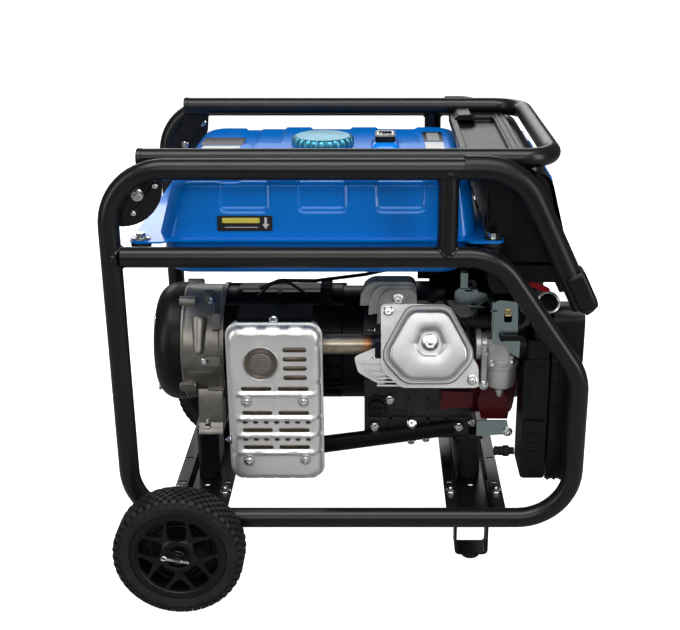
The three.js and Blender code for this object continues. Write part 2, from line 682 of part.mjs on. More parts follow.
// A shape through the corners, each one rounded off.
function softened(corners, r) {
  const shape = new THREE.Shape();
  const count = corners.length;
  corners.forEach((corner, i) => {
    const [before, after] = [corners[(i + count - 1) % count], corners[(i + 1) % count]].map((next) => {
      const run = [next[0] - corner[0], next[1] - corner[1]];
      const reach = Math.min(r / Math.hypot(...run), 0.48);
      return [corner[0] + run[0] * reach, corner[1] + run[1] * reach];
    });
    if (i === 0) shape.moveTo(...before);
    else shape.lineTo(...before);
    shape.quadraticCurveTo(...corner, ...after);
  });
  return shape;
}

function valveCover() {
  const corners = [
    [-25, 57.5], [24, 57.5], [64.5, -13], [64.5, -28], [34, -58], [-31, -58], [-66, -26], [-66, -12],
  ].map(([x, z]) => [engine.cylinderX + x, z]);
  const middle = [engine.cylinderX + 2, 3];
  const pan = leaned(prism(softened(corners, 14), 'y', -222, -203.3, 3));
  const dish = leaned(rod('y', 14, -224, -219, middle, 20));
  const bolt = leaned(rod('y', 7, -221, -210, middle, 12));
  add('valve_cover', join(cut(pan, dish), bolt), 'shieldSilver');
}

function coolingCowl() {
  const outline = roundedRect(24, 98, -162, -66, 16);
  add('cooling_cowl', prism(outline, 'z', 447, 474), 'darkCast');
}

function fanShroud() {
  const { right, shroudEnd } = engine;
  const x0 = right + gap;
  const x1 = shroudEnd - gap;
  const drum = rod('x', 120, x0, x1, [0, shaft.z], 32);
  const duct = leaned(box(x0, x0 + 26, -118, -60, -62, 62));
  const hollow = rod('x', 117, x0 + 2, x1 - 2.5, [0, shaft.z], 32);
  const inlet = rod('x', 84, x1 - 6, x1 + 2, [0, shaft.z], 32);
  const hub = rod('x', 40, x0 - 2, x0 + 6, [0, shaft.z], 24);
  const ductHollow = leaned(box(x0 + 2.5, x0 + 23.5, -115, -60, -59, 59));
  const mouth = leaned(box(x0 - 2, x0 + 6, -112, -100, -50, 50));
  add('fan_shroud', cut(join(drum, duct), hollow, inlet, hub, ductHollow, mouth), 'darkRed');
}

function flywheel() {
  const x0 = engine.right + 14;
  const disc = turned(
    [[shaft.r + gap, x0], [96, x0], [98, x0 + 14], [40, x0 + 16], [34, x0 + 34], [shaft.r + gap, x0 + 34],
      [shaft.r + gap, x0]], 'x', [0, 0, shaft.z], 28);
  const blades = [];
  const count = 10;
  for (let i = 0; i < count; i += 1) {
    const blade = new THREE.BoxGeometry(24, 3, 34).translate(x0 + 24, 0, 74);
    blades.push(solid(blade.rotateX((i * Math.PI * 2) / count).translate(0, 0, shaft.z)));
  }
  add('flywheel_fan', join(disc, ...blades), 'castGrey');
}

// The starter rope's line: it runs along Y at this X and Z.
const rope = { at: [282, 366], r: 2.5 };

function recoilStarter() {
  const { shroudEnd, recoilEnd } = engine;
  const profile = [
    [0, shroudEnd + 34], [40, shroudEnd + 34], [78, recoilEnd - 14], [92, shroudEnd + 26], [98, shroudEnd],
    [95, shroudEnd], [89, shroudEnd + 24], [76, recoilEnd - 17], [39, shroudEnd + 31], [0, shroudEnd + 31],
  ];
  const slots = [];
  const count = 6;
  for (let i = 0; i < count; i += 1) {
    const slot = new THREE.BoxGeometry(30, 10, 26).translate(recoilEnd - 16, 0, 60);
    slots.push(solid(slot.rotateX(((i + 0.5) * Math.PI * 2) / count).translate(0, 0, shaft.z)));
  }
  const guide = cut(rod('y', 11, 76, 106, rope.at, 14), rod('y', 4, 70, 110, rope.at, 12));
  add('recoil_housing', join(cut(turned(profile, 'x', [0, 0, shaft.z], 24), ...slots), guide), 'plastic');
}

function recoilGrip() {
  const end = rod('y', rope.r, 92, 112, rope.at, 8);
  const neck = rod('y', 9, 106 + gap, 122, rope.at, 14);
  const bar = rod('x', 10, rope.at[0] - 18, rope.at[0] + 18, [124, rope.at[1]], 14);
  add('recoil_grip', join(end, neck, bar), 'plastic');
}

// ---- exhaust -----------------------------------------------------------------------------
function mufflerBody() {
  const { x0, x1, y0, y1, z0, z1 } = muffler;
  const can = prism(roundedRect(x0, x1, z0, z1, 26), 'y', y0, y1, 5);
  const topBox = box(x0 + 14, x1 - 12, y0 + 14, y1 - 14, z1 - 6, z1 + 10);
  add('muffler', join(can, topBox), 'glossBlack');
}

function mufflerShield() {
  const { x0, x1, y0, z0, z1 } = muffler;
  const lip = 3;
  const outer = prism(roundedRect(x0 - lip - 2, x1 + lip + 2, z0 - 12, z1 + 2, 28), 'y', y0 - 14, y0 + 22, 5);
  const inner = prism(roundedRect(x0 - lip, x1 + lip, z0 - 10, z1, 26), 'y', y0 - 12, y0 + 24, 5);
  const notch = box(x0 + 12, x1 - 10, y0 + 8, y0 + 26, z1 - 12, z1 + 4);
  const openings = [rod('y', 25.5, y0 - 18, y0 - 8, [-134, 364], 24)];
  const slot = (u0, u1, z) => openings.push(box(u0, u1, y0 - 18, y0 - 8, z - 3, z + 3));
  [386, 371, 356, 341].forEach((z) => slot(-101, -65, z));
  [323, 283, 254, 225].forEach((z) => {
    slot(-165, -118, z);
    slot(-110, -63, z);
  });
  add('muffler_shield', cut(outer, inner, notch, ...openings), 'shieldSilver');
}

function exhaustPipe() {
  const bore = rod('x', 16, muffler.x1 + gap, 38, [-150, 373], 20);
  const flange = prism(roundedRect(-172, -129, 354, 392, 10), 'x', 37, 46.6, 2);
  add('exhaust_pipe', join(bore, flange), 'heatSteel');
}

function mufflerStay() {
  const start = muffler.x1 + gap;
  const bar = prism([[start, 196], [start, 172], [168, 205], [168, 226]], 'y', -124, -108.4);
  add('muffler_stay', bar, 'frameBlack');
}

// ---- fuel and air ------------------------------------------------------------------------
const elbowX = 247;

function carburettor() {
  const throat = rod('x', 17, engine.right + gap, elbowX - gap, [-160, 378], 16);
  const body = box(206, 246, -182, -138, 350, 392);
  const bowl = rod('z', 25, 298, 351, [226, -160], 20);
  const nut = rod('z', 7, 290, 299, [226, -160], 6);
  const insulator = box(engine.right + gap, 199, -184, -137, 356, 400);
  add('carburettor', join(throat, body, bowl, nut, insulator), 'brightCast');
}

function airCleaner() {
  const { x0, x1, x2, y0, y1, z0, z1 } = air;
  const stepped = new THREE.Shape();
  stepped.moveTo(x0 - 12, z0 + 10);
  stepped.lineTo(x0 - 2, z0);
  stepped.lineTo(x1, z0);
  stepped.lineTo(x1, z1);
  stepped.lineTo(x0 + 4, z1);
  stepped.lineTo(x0, z1 - 6);
  stepped.lineTo(x0, 262);
  stepped.lineTo(x0 - 12, 252);
  const drain = rod('x', 8, x0 - 34, x0 - 8, [-150, 172], 12);
  const hornBase = prism(roundedRect(x0 + 14, x1, y0 + 12, y1, 10), 'z', z1 - 4, z1 + 70);
  const elbow = prism(roundedRect(-186, y1 - 4, 352, 400, 14), 'x', elbowX, x0 + 16, 3);
  add('air_cleaner', join(prism(stepped, 'y', y0, y1), drain, hornBase, elbow), 'plastic');

  const cover = prism(roundedRect(y0, y1, z0 - 6, z1 + 2, 12), 'x', x1 + gap, x2, 5);
  const dome = prism(roundedRect(y0 + 8, y1 - 4, z1 - 20, z1 + 66, 16), 'x', x1 + gap, x2 + 10, 5);
  add('air_cleaner_cover', join(cover, dome), 'plastic');
}

function governor() {
  const plate = prism(
    [[206, 386], [246, 386], [249, 446], [232, 454], [210, 454], [204, 418]], 'y', -190, -187.5);
  const wing = prism(
    [[168, 462], [222, 456], [222, 432], [192, 412], [191, 435], [168, 437]], 'y', -112, -109.5);
  const bridge = box(208, 220, -190, -109.5, 440, 443);
  const leg = box(178, 196, -112, -66, 446, 450);
  const post = box(178, 189, -98, -80, 428, 450);
  add('governor_plate', join(plate, wing, bridge, leg, post), 'zinc');
}

function levers() {
  const choke = join(
    rod('y', 5, -200, -190.3, [228, 402], 12),
    prism(roundedRect(224, 260, 398, 406, 3.9), 'y', -200, -197, 3));
  add('choke_lever', choke, 'plastic');

  const tap = join(
    rod('z', 9, 452, 500, [262, -150], 14), box(248, 276, -160, -140, 496, 516.6),
    rod('z', 5, 436, 454, [262, -150], 10));
  add('fuel_tap', tap, 'zinc');
  const lever = join(
    rod('y', 8, -170, -159.4, [262, 476], 14), prism(roundedRect(257, 296, 470, 482, 5), 'y', -170, -166, 4));
  add('fuel_tap_lever', lever, 'red');
}

// ---- flexible mounts, hose and lead ------------------------------------------------------
function engineMounts() {
  const web = rail.top - rail.depth + gap;
  const mount = (label, x, side, top) => {
    add(label, rod('z', 18, web, top - gap, [x, side * mountY], 16), 'rubber');
  };
  bothSides((side, name) => {
    mount(`alternator_mount_${name}`, rail.leftX, side, alternator.footZ);
    mount(`engine_mount_${name}`, rail.rightX, side, engine.base);
  });
}

function hoseAndLead() {
  const lead = pipe([
    [-150, -30, 422], [-118, -30, 436], [-60, -26, 434], [20, 0, 436], [192, 44, 460], [192, 44, 540],
    [213.4, 44, 540],
  ], 3, 10, 8, 3);
  add('alternator_lead', lead, 'rubber');
  const hose = pipe(
    [[262, -150, 435.4], [262, -150, 412], [238, -160, 406], [238, -160, 395.4]], 4.5, 7, 8, 3);
  add('fuel_hose', hose, 'rubber');
}

// ---- assembly ----------------------------------------------------------------------------
bothSides(sideFrame);
rails();
footPads();
axle();
bothSides(tyre);
bothSides(rim);
trolleyHandle();
fuelTank();
tankMounts();
fuelCap();
fuelGauge();
group.add(face);
controlBox();
fascia();
panelPlate();
outlets.forEach((y, i) => outletSocket(y, i + 1));
outlets.forEach((y, i) => outletLid(y, i + 1));
panelControls();
alternatorCover();
alternatorBracket();
stator();
rotor();
crankcase();
dipstick();
cylinderHead();
valveCover();
coolingCowl();
fanShroud();
flywheel();
recoilStarter();
recoilGrip();
mufflerBody();
mufflerShield();
exhaustPipe();
mufflerStay();
carburettor();
airCleaner();
governor();
levers();
engineMounts();
hoseAndLead();

// The origin is the middle of the whole object's footprint, on the ground.
const overall = new THREE.Box3().setFromObject(group);
group.position.x = -(overall.min.x + overall.max.x) / 2;

export default group;
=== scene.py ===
"""Looks of a portable generator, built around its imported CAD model.

Sizes and places are millimetres in the frame that the part is drawn in: +X from the wheels to
the control panel, -Y the side with the muffler, +Z up. TO_WORLD carries them to the row frame.
"""

import json
import math

import bmesh
import bpy
from mathutils import Matrix, Vector


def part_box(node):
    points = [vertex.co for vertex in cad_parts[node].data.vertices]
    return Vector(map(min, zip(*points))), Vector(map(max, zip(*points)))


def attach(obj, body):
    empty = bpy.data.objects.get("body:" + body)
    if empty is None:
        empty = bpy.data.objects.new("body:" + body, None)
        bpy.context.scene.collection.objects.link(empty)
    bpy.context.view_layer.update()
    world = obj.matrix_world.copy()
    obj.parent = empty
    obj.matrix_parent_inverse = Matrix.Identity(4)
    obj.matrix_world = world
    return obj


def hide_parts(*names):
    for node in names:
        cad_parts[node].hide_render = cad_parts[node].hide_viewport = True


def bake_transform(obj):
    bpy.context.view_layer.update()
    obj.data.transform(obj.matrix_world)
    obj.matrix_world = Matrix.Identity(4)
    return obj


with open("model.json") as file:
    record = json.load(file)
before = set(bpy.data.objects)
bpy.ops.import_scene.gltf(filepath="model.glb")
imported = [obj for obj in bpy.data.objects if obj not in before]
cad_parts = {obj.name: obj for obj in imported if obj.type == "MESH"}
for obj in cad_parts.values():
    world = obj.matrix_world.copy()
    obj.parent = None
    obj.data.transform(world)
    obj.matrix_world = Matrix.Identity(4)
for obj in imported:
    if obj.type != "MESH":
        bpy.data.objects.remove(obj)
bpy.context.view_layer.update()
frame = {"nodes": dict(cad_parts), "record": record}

# ---- driving dimensions ------------------------------------------------------------------
MM = 0.001
TUBE = dict(r=15, side=241, bend=82, left=-335, right=337, bottom=122, mid=542, top=668)
BENDS = dict(upper_x=237, upper_slope=64.2, upper_run=222, mid_x=211, lower_slope=55.5)
STUB = dict(x=139, r=14.5)
GUSSET = dict(y=230, t=4)
HANDLE = dict(y=208, z=676, r=14, left=-292, right=290, bend=52, pivot_x=-294, pivot_z=630, ear=16)
RAIL = dict(left=-238, right=193.5, top=130, depth=17, half=46, web=27, t=3)
TANK_MOUNT_X = (-298, 206)
TANK_MOUNT_Y = 207
SHAFT_Z = 320
LEAN = math.radians(20)
CYLINDER_X = 117
MUFFLER = dict(x0=-180, x1=-50, y0=-192, y1=-112, z0=178, z1=418)
PANEL = dict(x=301.5, z=584.5, lean=math.radians(14.5))
AIR = dict(x0=262, x1=303, x2=342, y0=-196, y1=-128, z0=166, z1=366)
# The camera's place is in metres of the row frame, and its tilt in degrees.
CAMERA = dict(place=(0.03995, -1.762, 1.023), down=20.48, lens=59.8, shift=-0.0544, sensor=36)
# Each lamp's name, place, width and height in metres, and watts.
LAMPS = [
    ("overhead", (0, -0.9, 3.0), 3.2, 1.6, 88),
    ("behind", (-0.5, 3.0, 1.75), 3.0, 0.8, 24),
    ("left_strip", (-2.4, -1.6, 1.3), 0.8, 2.2, 18),
    ("right_strip", (2.4, -1.6, 1.3), 0.8, 2.2, 34),
    ("front_fill", (0.2, -3.4, 2.2), 2.8, 1.4, 38),
]

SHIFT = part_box("side_frame_near")[0].x / MM - (TUBE["left"] - TUBE["r"])
TO_WORLD = Matrix.Scale(MM, 4) @ Matrix.Translation((SHIFT, 0, 0))
LEANED = Matrix.Translation((0, 0, SHAFT_Z)) @ Matrix.Rotation(-LEAN, 4, "X")
ON_PANEL = Matrix.Translation((PANEL["x"], 0, PANEL["z"])) @ Matrix.Rotation(-PANEL["lean"], 4, "Y")


def corners(node):
    """A CAD node's lowest and highest corners, in millimetres of the part's frame."""
    low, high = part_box(node)
    offset = Vector((SHIFT, 0, 0))
    return low / MM - offset, high / MM - offset


# ---- materials ---------------------------------------------------------------------------
class Surface:
    """A procedural material: a Principled shader whose colour, roughness and relief vary."""

    def __init__(self, name, base, rough, metal=0.0, coat=0.0, specular=0.5):
        self.material = bpy.data.materials.new(f"{name}_finish")
        self.slot = name
        self.material.use_nodes = True
        self.tree = self.material.node_tree
        self.shader = self.tree.nodes["Principled BSDF"]
        values = {
            "Base Color": (*base, 1), "Roughness": rough, "Metallic": metal, "Coat Weight": coat,
            "Coat Roughness": 0.04, "Specular IOR Level": specular,
        }
        for key, value in values.items():
            self.shader.inputs[key].default_value = value
        self.base = base
        self.rough = rough
        self.place = self.node("ShaderNodeTexCoord").outputs["Object"]
        self.relief = None

    def node(self, kind, **settings):
        made = self.tree.nodes.new(kind)
        for key, value in settings.items():
            setattr(made, key, value)
        return made

    def link(self, source, target):
        self.tree.links.new(source, target)

    def noise(self, scale, detail=4.0, stretch=(1, 1, 1)):
        spread = self.node("ShaderNodeMapping")
        spread.inputs["Scale"].default_value = stretch
        self.link(self.place, spread.inputs["Vector"])
        made = self.node("ShaderNodeTexNoise")
        made.inputs["Scale"].default_value = scale
        made.inputs["Detail"].default_value = detail
        self.link(spread.outputs[0], made.inputs["Vector"])
        return made.outputs["Fac"]

    def ramp(self, source, *stops):
        """Colours along a value; each stop is (position, colour)."""
        made = self.node("ShaderNodeValToRGB")
        elements = made.color_ramp.elements
        for element, (position, colour) in zip(elements, (stops[0], stops[-1])):
            element.position = position
            element.color = (*colour, 1)
        for position, colour in stops[1:-1]:
            elements.new(position).color = (*colour, 1)
        self.link(source, made.inputs[0])
        return made.outputs[0]

    def vary_colour(self, other, scale, low=0.35, high=0.65):
        """Patches of a second colour."""
        patches = self.ramp(self.noise(scale), (low, self.base), (high, other))
        self.link(patches, self.shader.inputs["Base Color"])

    def vary_roughness(self, spread, scale, stretch=(1, 1, 1)):
        reach = self.node("ShaderNodeMapRange")
        reach.inputs["To Min"].default_value = max(self.rough - spread, 0.02)
        reach.inputs["To Max"].default_value = self.rough + spread
        self.link(self.noise(scale, stretch=stretch), reach.inputs["Value"])
        self.link(reach.outputs[0], self.shader.inputs["Roughness"])

    def bump(self, height, depth, strength):
        """Relief of the given depth in metres, laid over any relief before it."""
        made = self.node("ShaderNodeBump")
        made.inputs["Distance"].default_value = depth
        made.inputs["Strength"].default_value = strength
        self.link(height, made.inputs["Height"])
        if self.relief:
            self.link(self.relief, made.inputs["Normal"])
        self.relief = made.outputs["Normal"]
        self.link(self.relief, self.shader.inputs["Normal"])


def varied(
        name, base, other, rough, patches, spread, relief=None, span=(0.35, 0.65),
        stretch=(1, 1, 1), **settings):
    """A surface with patches of a second colour, uneven roughness and a fine relief.

    patches is a noise scale, spread is (roughness range, noise scale), and relief is (noise
    scale, detail, depth in metres, strength).
    """
    s = Surface(name, base, rough, **settings)
    s.vary_colour(other, patches, *span)
    s.vary_roughness(*spread, stretch)
    if relief:
        scale, detail, depth, strength = relief
        s.bump(s.noise(scale, detail), depth, strength)
    return s


def scorched_steel():
    """Steel tube: tan from heat, with an orange and blue-black band at the engine's flange."""
    s = Surface("heat_steel", (0.46, 0.39, 0.30), 0.34, metal=0.9)
    pipe_low, pipe_high = corners("exhaust_pipe")
    along = s.node("ShaderNodeSeparateXYZ")
    s.link(s.place, along.inputs[0])
    reach = s.node("ShaderNodeMapRange")
    reach.inputs["From Min"].default_value = (pipe_low.x + SHIFT) * MM
    reach.inputs["From Max"].default_value = (pipe_high.x + SHIFT) * MM
    s.link(along.outputs["X"], reach.inputs["Value"])
    heat = s.ramp(
        reach.outputs[0], (0.0, (0.34, 0.29, 0.23)), (0.35, (0.50, 0.44, 0.36)),
        (0.68, (0.46, 0.38, 0.28)), (0.80, (0.42, 0.17, 0.05)), (0.87, (0.03, 0.03, 0.05)),
        (1.0, (0.012, 0.014, 0.022)))
    patches = s.ramp(s.noise(45, 6, (1, 2, 2)), (0.35, (0.45, 0.42, 0.38)), (0.6, (1, 1, 1)))
    stain = s.node("ShaderNodeMix", data_type="RGBA", blend_type="MULTIPLY")
    stain.inputs["Factor"].default_value = 0.6
    s.link(heat, stain.inputs["A"])
    s.link(patches, stain.inputs["B"])
    s.link(stain.outputs["Result"], s.shader.inputs["Base Color"])
    s.vary_roughness(0.12, 130)
    s.bump(s.noise(300, 4), 0.0003, 0.3)
    return s


def wire_mesh():
    """Woven steel gauze: two sets of fine wires at right angles."""
    s = Surface("gauze", (0.20, 0.17, 0.15), 0.4, metal=0.9)
    waves = []
    for axis in ("X", "Z"):
        wires = s.node("ShaderNodeTexWave", bands_direction=axis)
        wires.inputs["Scale"].default_value = 130
        s.link(s.place, wires.inputs["Vector"])
        waves.append(wires.outputs["Fac"])
    both = s.node("ShaderNodeMath", operation="MAXIMUM")
    s.link(waves[0], both.inputs[0])
    s.link(waves[1], both.inputs[1])
    weave = s.ramp(both.outputs[0], (0.0, (0.02, 0.015, 0.012)), (1.0, (0.30, 0.26, 0.235)))
    s.link(weave, s.shader.inputs["Base Color"])
    s.bump(both.outputs[0], 0.0006, 0.8)
    return s


CAST = dict(patches=28, spread=(0.1, 90), relief=(520, 5, 0.0005, 0.45))
SHEET = dict(spread=(0.05, 160), relief=(900, 3, 0.00006, 0.4), stretch=(1, 1, 0.1))
LABEL = dict(
    rough=0.3, patches=300, spread=(0.05, 200), relief=(400, 1, 0.00005, 0.2), coat=0.5)

SURFACES = [
    # Powder coat, rubbers, plastic and enamel.
    varied("frame_black", (0.0042, 0.0044, 0.005), (0.0056, 0.0058, 0.0065), 0.3, 9, (0.05, 35),
           (420, 2, 0.0001, 0.35), specular=0.34),
    varied("rubber", (0.006, 0.006, 0.0065), (0.010, 0.010, 0.010), 0.6, 60, (0.1, 80),
           (700, 4, 0.0002, 0.4), specular=0.3),
    varied("tyre", (0.006, 0.006, 0.0065), (0.013, 0.013, 0.013), 0.55, 45, (0.1, 120),
           (900, 4, 0.0002, 0.5), specular=0.3),
    varied("black_plastic", (0.003, 0.0031, 0.0035), (0.0048, 0.0049, 0.0054), 0.36, 22,
           (0.06, 60), (1300, 1, 0.0001, 0.4), specular=0.24),
    varied("gloss_black", (0.002, 0.002, 0.0024), (0.005, 0.005, 0.0055), 0.32, 14, (0.05, 40),
           (160, 2, 0.0002, 0.2), specular=0.1),
    # Tank paint with a clear coat, and the anodised cap.
    varied("tank_blue", (0.0, 0.175, 0.66), (0.0, 0.195, 0.72), 0.3, 900, (0.04, 30),
           (70, 1, 0.0004, 0.05), span=(0.3, 0.8), metal=0.1, coat=0.6, specular=0.12),
    varied("cap_anodised", (0.05, 0.24, 0.34), (0.07, 0.30, 0.40), 0.34, 30, (0.07, 220),
           (500, 3, 0.0001, 0.25), metal=0.9),
    # Castings, and pressed and plated sheet.
    varied("cast_grey", (0.30, 0.285, 0.255), (0.19, 0.18, 0.158), 0.36, metal=0.8, **CAST),
    # Painted shade: the cowl's own copy of the cast finish, darker than cast_bright because the cowl sits in
    # shade.
    varied("cowl_cast_shaded", (0.40, 0.405, 0.41), (0.29, 0.292, 0.296), 0.36, metal=0.8, **CAST),
    varied("cast_bright", (0.62, 0.62, 0.61), (0.48, 0.48, 0.475), 0.42, metal=0.8, **CAST),
    varied("cast_dark", (0.045, 0.043, 0.042), (0.022, 0.021, 0.021), 0.4, metal=0.5, **CAST),
    varied("cover_silver", (0.56, 0.56, 0.55), (0.49, 0.49, 0.48), 0.36, 18, metal=0.92, **SHEET),
    varied("shield_silver", (0.86, 0.86, 0.85), (0.78, 0.78, 0.77), 0.36, 24, metal=0.82, **SHEET),
    varied("zinc", (0.30, 0.37, 0.37), (0.30, 0.37, 0.38), 0.26, 10, (0.03, 60),
           (300, 3, 0.00005, 0.15), metal=0.95),
    # The fan housing's paint, and the red lever.
    varied("dark_red", (0.10, 0.003, 0.009), (0.075, 0.003, 0.007), 0.36, 12, (0.06, 50),
           (120, 2, 0.0002, 0.15), specular=0.3),
    varied("red", (0.42, 0.008, 0.016), (0.52, 0.012, 0.022), 0.32, 50, (0.06, 90),
           (900, 1, 0.0001, 0.3)),
    scorched_steel(),
    varied("screen", (0.010, 0.016, 0.013), (0.016, 0.026, 0.02), 0.1, 12, (0.03, 30),
           (60, 1, 0.0001, 0.05), coat=0.8),
    varied("bright_fastener", (0.70, 0.71, 0.70), (0.55, 0.57, 0.58), 0.2, 160, (0.08, 300),
           (900, 2, 0.0001, 0.3), metal=1.0),
    varied("brass_clip", (0.62, 0.47, 0.18), (0.52, 0.40, 0.20), 0.25, 220, (0.06, 300),
           metal=1.0),
    wire_mesh(),
    varied("label_black", (0.006, 0.006, 0.006), (0.010, 0.010, 0.010), **LABEL),
    varied("label_white", (0.62, 0.62, 0.60), (0.55, 0.55, 0.54), **LABEL),
    varied("label_yellow", (0.72, 0.62, 0.10), (0.66, 0.56, 0.08), **LABEL),
    varied("label_grey", (0.10, 0.10, 0.11), (0.16, 0.16, 0.17), **LABEL),
]
materials = {surface.slot: surface.material for surface in SURFACES}

SLOT_OF = {part["node"]: part["material_slot"] for part in frame["record"]["subparts"]}
BODY_OF = {node: body for body, nodes in frame["record"]["behaviour"]["bodies"].items() for node in nodes}


# ---- mesh pieces -------------------------------------------------------------------------
def show(name, mesh_code, finish, replaces=(), sharp=32, body="chassis"):
    """Turns a finished bmesh, or a list of them, into a named piece that rides on a body."""
    if isinstance(mesh_code, list):
        mesh_code = joined(*mesh_code)
    bmesh.ops.recalc_face_normals(mesh_code, faces=mesh_code.faces)
    mesh_code.transform(TO_WORLD)
    mesh = bpy.data.meshes.new(name)
    mesh_code.to_mesh(mesh)
    mesh_code.free()
    mesh.shade_smooth()
    mesh.set_sharp_from_angle(angle=math.radians(sharp))
    mesh.materials.append(materials[finish])
    piece = bpy.data.objects.new(name, mesh)
    bpy.context.scene.collection.objects.link(piece)
    weighted = piece.modifiers.new("normals", "WEIGHTED_NORMAL")
    weighted.keep_sharp = True
    if body:
        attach(piece, body)
    if replaces:
        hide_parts(*replaces)
    return piece


def joined(*parts):
    """One bmesh holding all the parts, which are used up."""
    whole = bmesh.new()
    for part in parts:
        scratch = bpy.data.meshes.new("scratch")
        part.to_mesh(scratch)
        part.free()
        whole.from_mesh(scratch)
        bpy.data.meshes.remove(scratch)
    return whole


def placed(part, matrix):
    part.transform(matrix)
    return part


def eased(part, width, steps=2, angle=28):
    """Rounds the edges sharper than angle."""
    edges = [
        e for e in part.edges
        if len(e.link_faces) == 2 and e.calc_face_angle(0) > math.radians(angle)
    ]
    bmesh.ops.bevel(
        part, geom=edges, offset=width, segments=steps, profile=0.5, affect="EDGES", clamp_overlap=True)
    return part


def carved(part, *tools):
    """The part with the tools cut out of it."""
    target = bpy.data.objects.new("target", bpy.data.meshes.new("target"))
    cutter = bpy.data.objects.new("cutter", bpy.data.meshes.new("cutter"))
    tool = joined(*tools)
    for holder, code in ((target, part), (cutter, tool)):
        bmesh.ops.recalc_face_normals(code, faces=code.faces)
        code.to_mesh(holder.data)
        code.free()
        bpy.context.scene.collection.objects.link(holder)
    modifier = target.modifiers.new("cut", "BOOLEAN")
    modifier.object = cutter
    modifier.solver = "EXACT"
    modifier.use_self = True
    bpy.context.view_layer.update()
    result = bmesh.new()
    result.from_object(target, bpy.context.evaluated_depsgraph_get())
    for holder in (target, cutter):
        bpy.data.objects.remove(holder)
    return result


AXES = {
    "x": lambda u, v, w: (w, u, v),
    "y": lambda u, v, w: (u, w, v),
    "z": lambda u, v, w: (u, v, w),
}


def prism(outline, axis, start, end, ease=0.0, steps=2):
    """An outline (u, v), drawn as (Y, Z), (X, Z) or (X, Y), pushed along the axis."""
    code = bmesh.new()
    first = [code.verts.new(AXES[axis](u, v, start)) for u, v in outline]
    last = [code.verts.new(AXES[axis](u, v, end)) for u, v in outline]
    code.faces.new(first)
    code.faces.new(last)
    count = len(outline)
    for i in range(count):
        j = (i + 1) % count
        code.faces.new((first[i], first[j], last[j], last[i]))
    return eased(code, ease, steps) if ease else code


def block(x0, x1, y0, y1, z0, z1, ease=0.0, steps=2):
    return prism([(x0, y0), (x1, y0), (x1, y1), (x0, y1)], "z", z0, z1, ease, steps)


def arc(cu, cv, r, start, end, steps=6):
    """Points on a circle, between two angles in degrees."""
    return [
        (cu + r * math.cos(math.radians(a)), cv + r * math.sin(math.radians(a)))
        for a in [start + (end - start) * i / steps for i in range(steps + 1)]
    ]


def round_rect(u0, u1, v0, v1, r, steps=6):
    return (
        arc(u1 - r, v0 + r, r, -90, 0, steps) + arc(u1 - r, v1 - r, r, 0, 90, steps)
        + arc(u0 + r, v1 - r, r, 90, 180, steps) + arc(u0 + r, v0 + r, r, 180, 270, steps)
    )


def ring_points(r, sides):
    return arc(0, 0, r, 0, 360 * (sides - 1) / sides, sides - 1)


def turned(profile, axis, centre, sides):
    """A turned body: profile points are (radius, distance along the axis)."""
    code = bmesh.new()
    loop = profile[0] == profile[-1] and profile[0][0] > 0
    points = profile[:-1] if loop else profile
    rings = []
    for r, along in points:
        if r == 0:
            ring = [code.verts.new(AXES[axis](0, 0, along))] * sides
        else:
            ring = [code.verts.new(AXES[axis](u, v, along)) for u, v in ring_points(r, sides)]
        rings.append(ring)
    pairs = list(zip(rings, rings[1:]))
    if loop:
        pairs.append((rings[-1], rings[0]))
    for low, high in pairs:
        for i in range(sides):
            j = (i + 1) % sides
            around = []
            for vertex in (low[i], low[j], high[j], high[i]):
                if vertex not in around:
                    around.append(vertex)
            if len(around) > 2:
                code.faces.new(around)
    return placed(code, Matrix.Translation(centre))


def hoop(r0, r1, start, end):
    """The closed profile of a ring between two radii."""
    return [(r0, start), (r1, start), (r1, end), (r0, end), (r0, start)]


def rod(axis, r, start, end, centre, sides, ease=0.0):
    """A round bar along an axis, with eased ends; centre is its other two coordinates."""
    u, v = centre
    place = {"x": (0, u, v), "y": (u, 0, v), "z": (u, v, 0)}[axis]
    if ease:
        profile = [
            (0, start), (r - ease, start), (r, start + ease), (r, end - ease), (r - ease, end), (0, end)]
    else:
        profile = [(0, start), (r, start), (r, end), (0, end)]
    return turned(profile, axis, place, sides)


def bent_route(points, bend, steps):
    """(point, direction) rings along straight runs joined by round bends."""
    at = [Vector(p) for p in points]
    rings = []
    for i, corner in enumerate(at):
        before = (corner - at[i - 1]).normalized() if i else None
        after = (at[i + 1] - corner).normalized() if i + 1 < len(at) else None
        if before is None or after is None:
            rings.append((corner, before or after))
            continue
        turn = before.angle(after)
        if turn < 1e-3:
            rings.append((corner, after))
            continue
        axis = before.cross(after).normalized()
        inward = axis.cross(before)
        centre = corner - before * bend * math.tan(turn / 2) + inward * bend
        for s in range(steps + 1):
            swing = Matrix.Rotation(turn * s / steps, 3, axis)
            rings.append((centre - (swing @ inward) * bend, swing @ before))
    return rings


def swept(section, rings, side=None, closed=False):
    """A section (a, b) carried along rings. side, where given, is the fixed direction of a."""
    code = bmesh.new()
    loops = []
    across = side or rings[0][1].orthogonal().normalized()
    for point, direction in rings:
        across = Vector(side) if side else (across - direction * across.dot(direction)).normalized()
        up = direction.cross(across).normalized()
        loops.append([code.verts.new(point + across * a + up * b) for a, b in section])
    pairs = list(zip(loops, loops[1:]))
    if closed:
        pairs.append((loops[-1], loops[0]))
    else:
        code.faces.new(loops[0])
        code.faces.new(loops[-1])
    count = len(section)
    for low, high in pairs:
        for i in range(count):
            j = (i + 1) % count
            code.faces.new((low[i], low[j], high[j], high[i]))
    return code


def tube(points, r, bend, sides, steps):
    """A round tube along straight runs joined by bends."""
    return swept(ring_points(r, sides), bent_route(points, bend, steps))


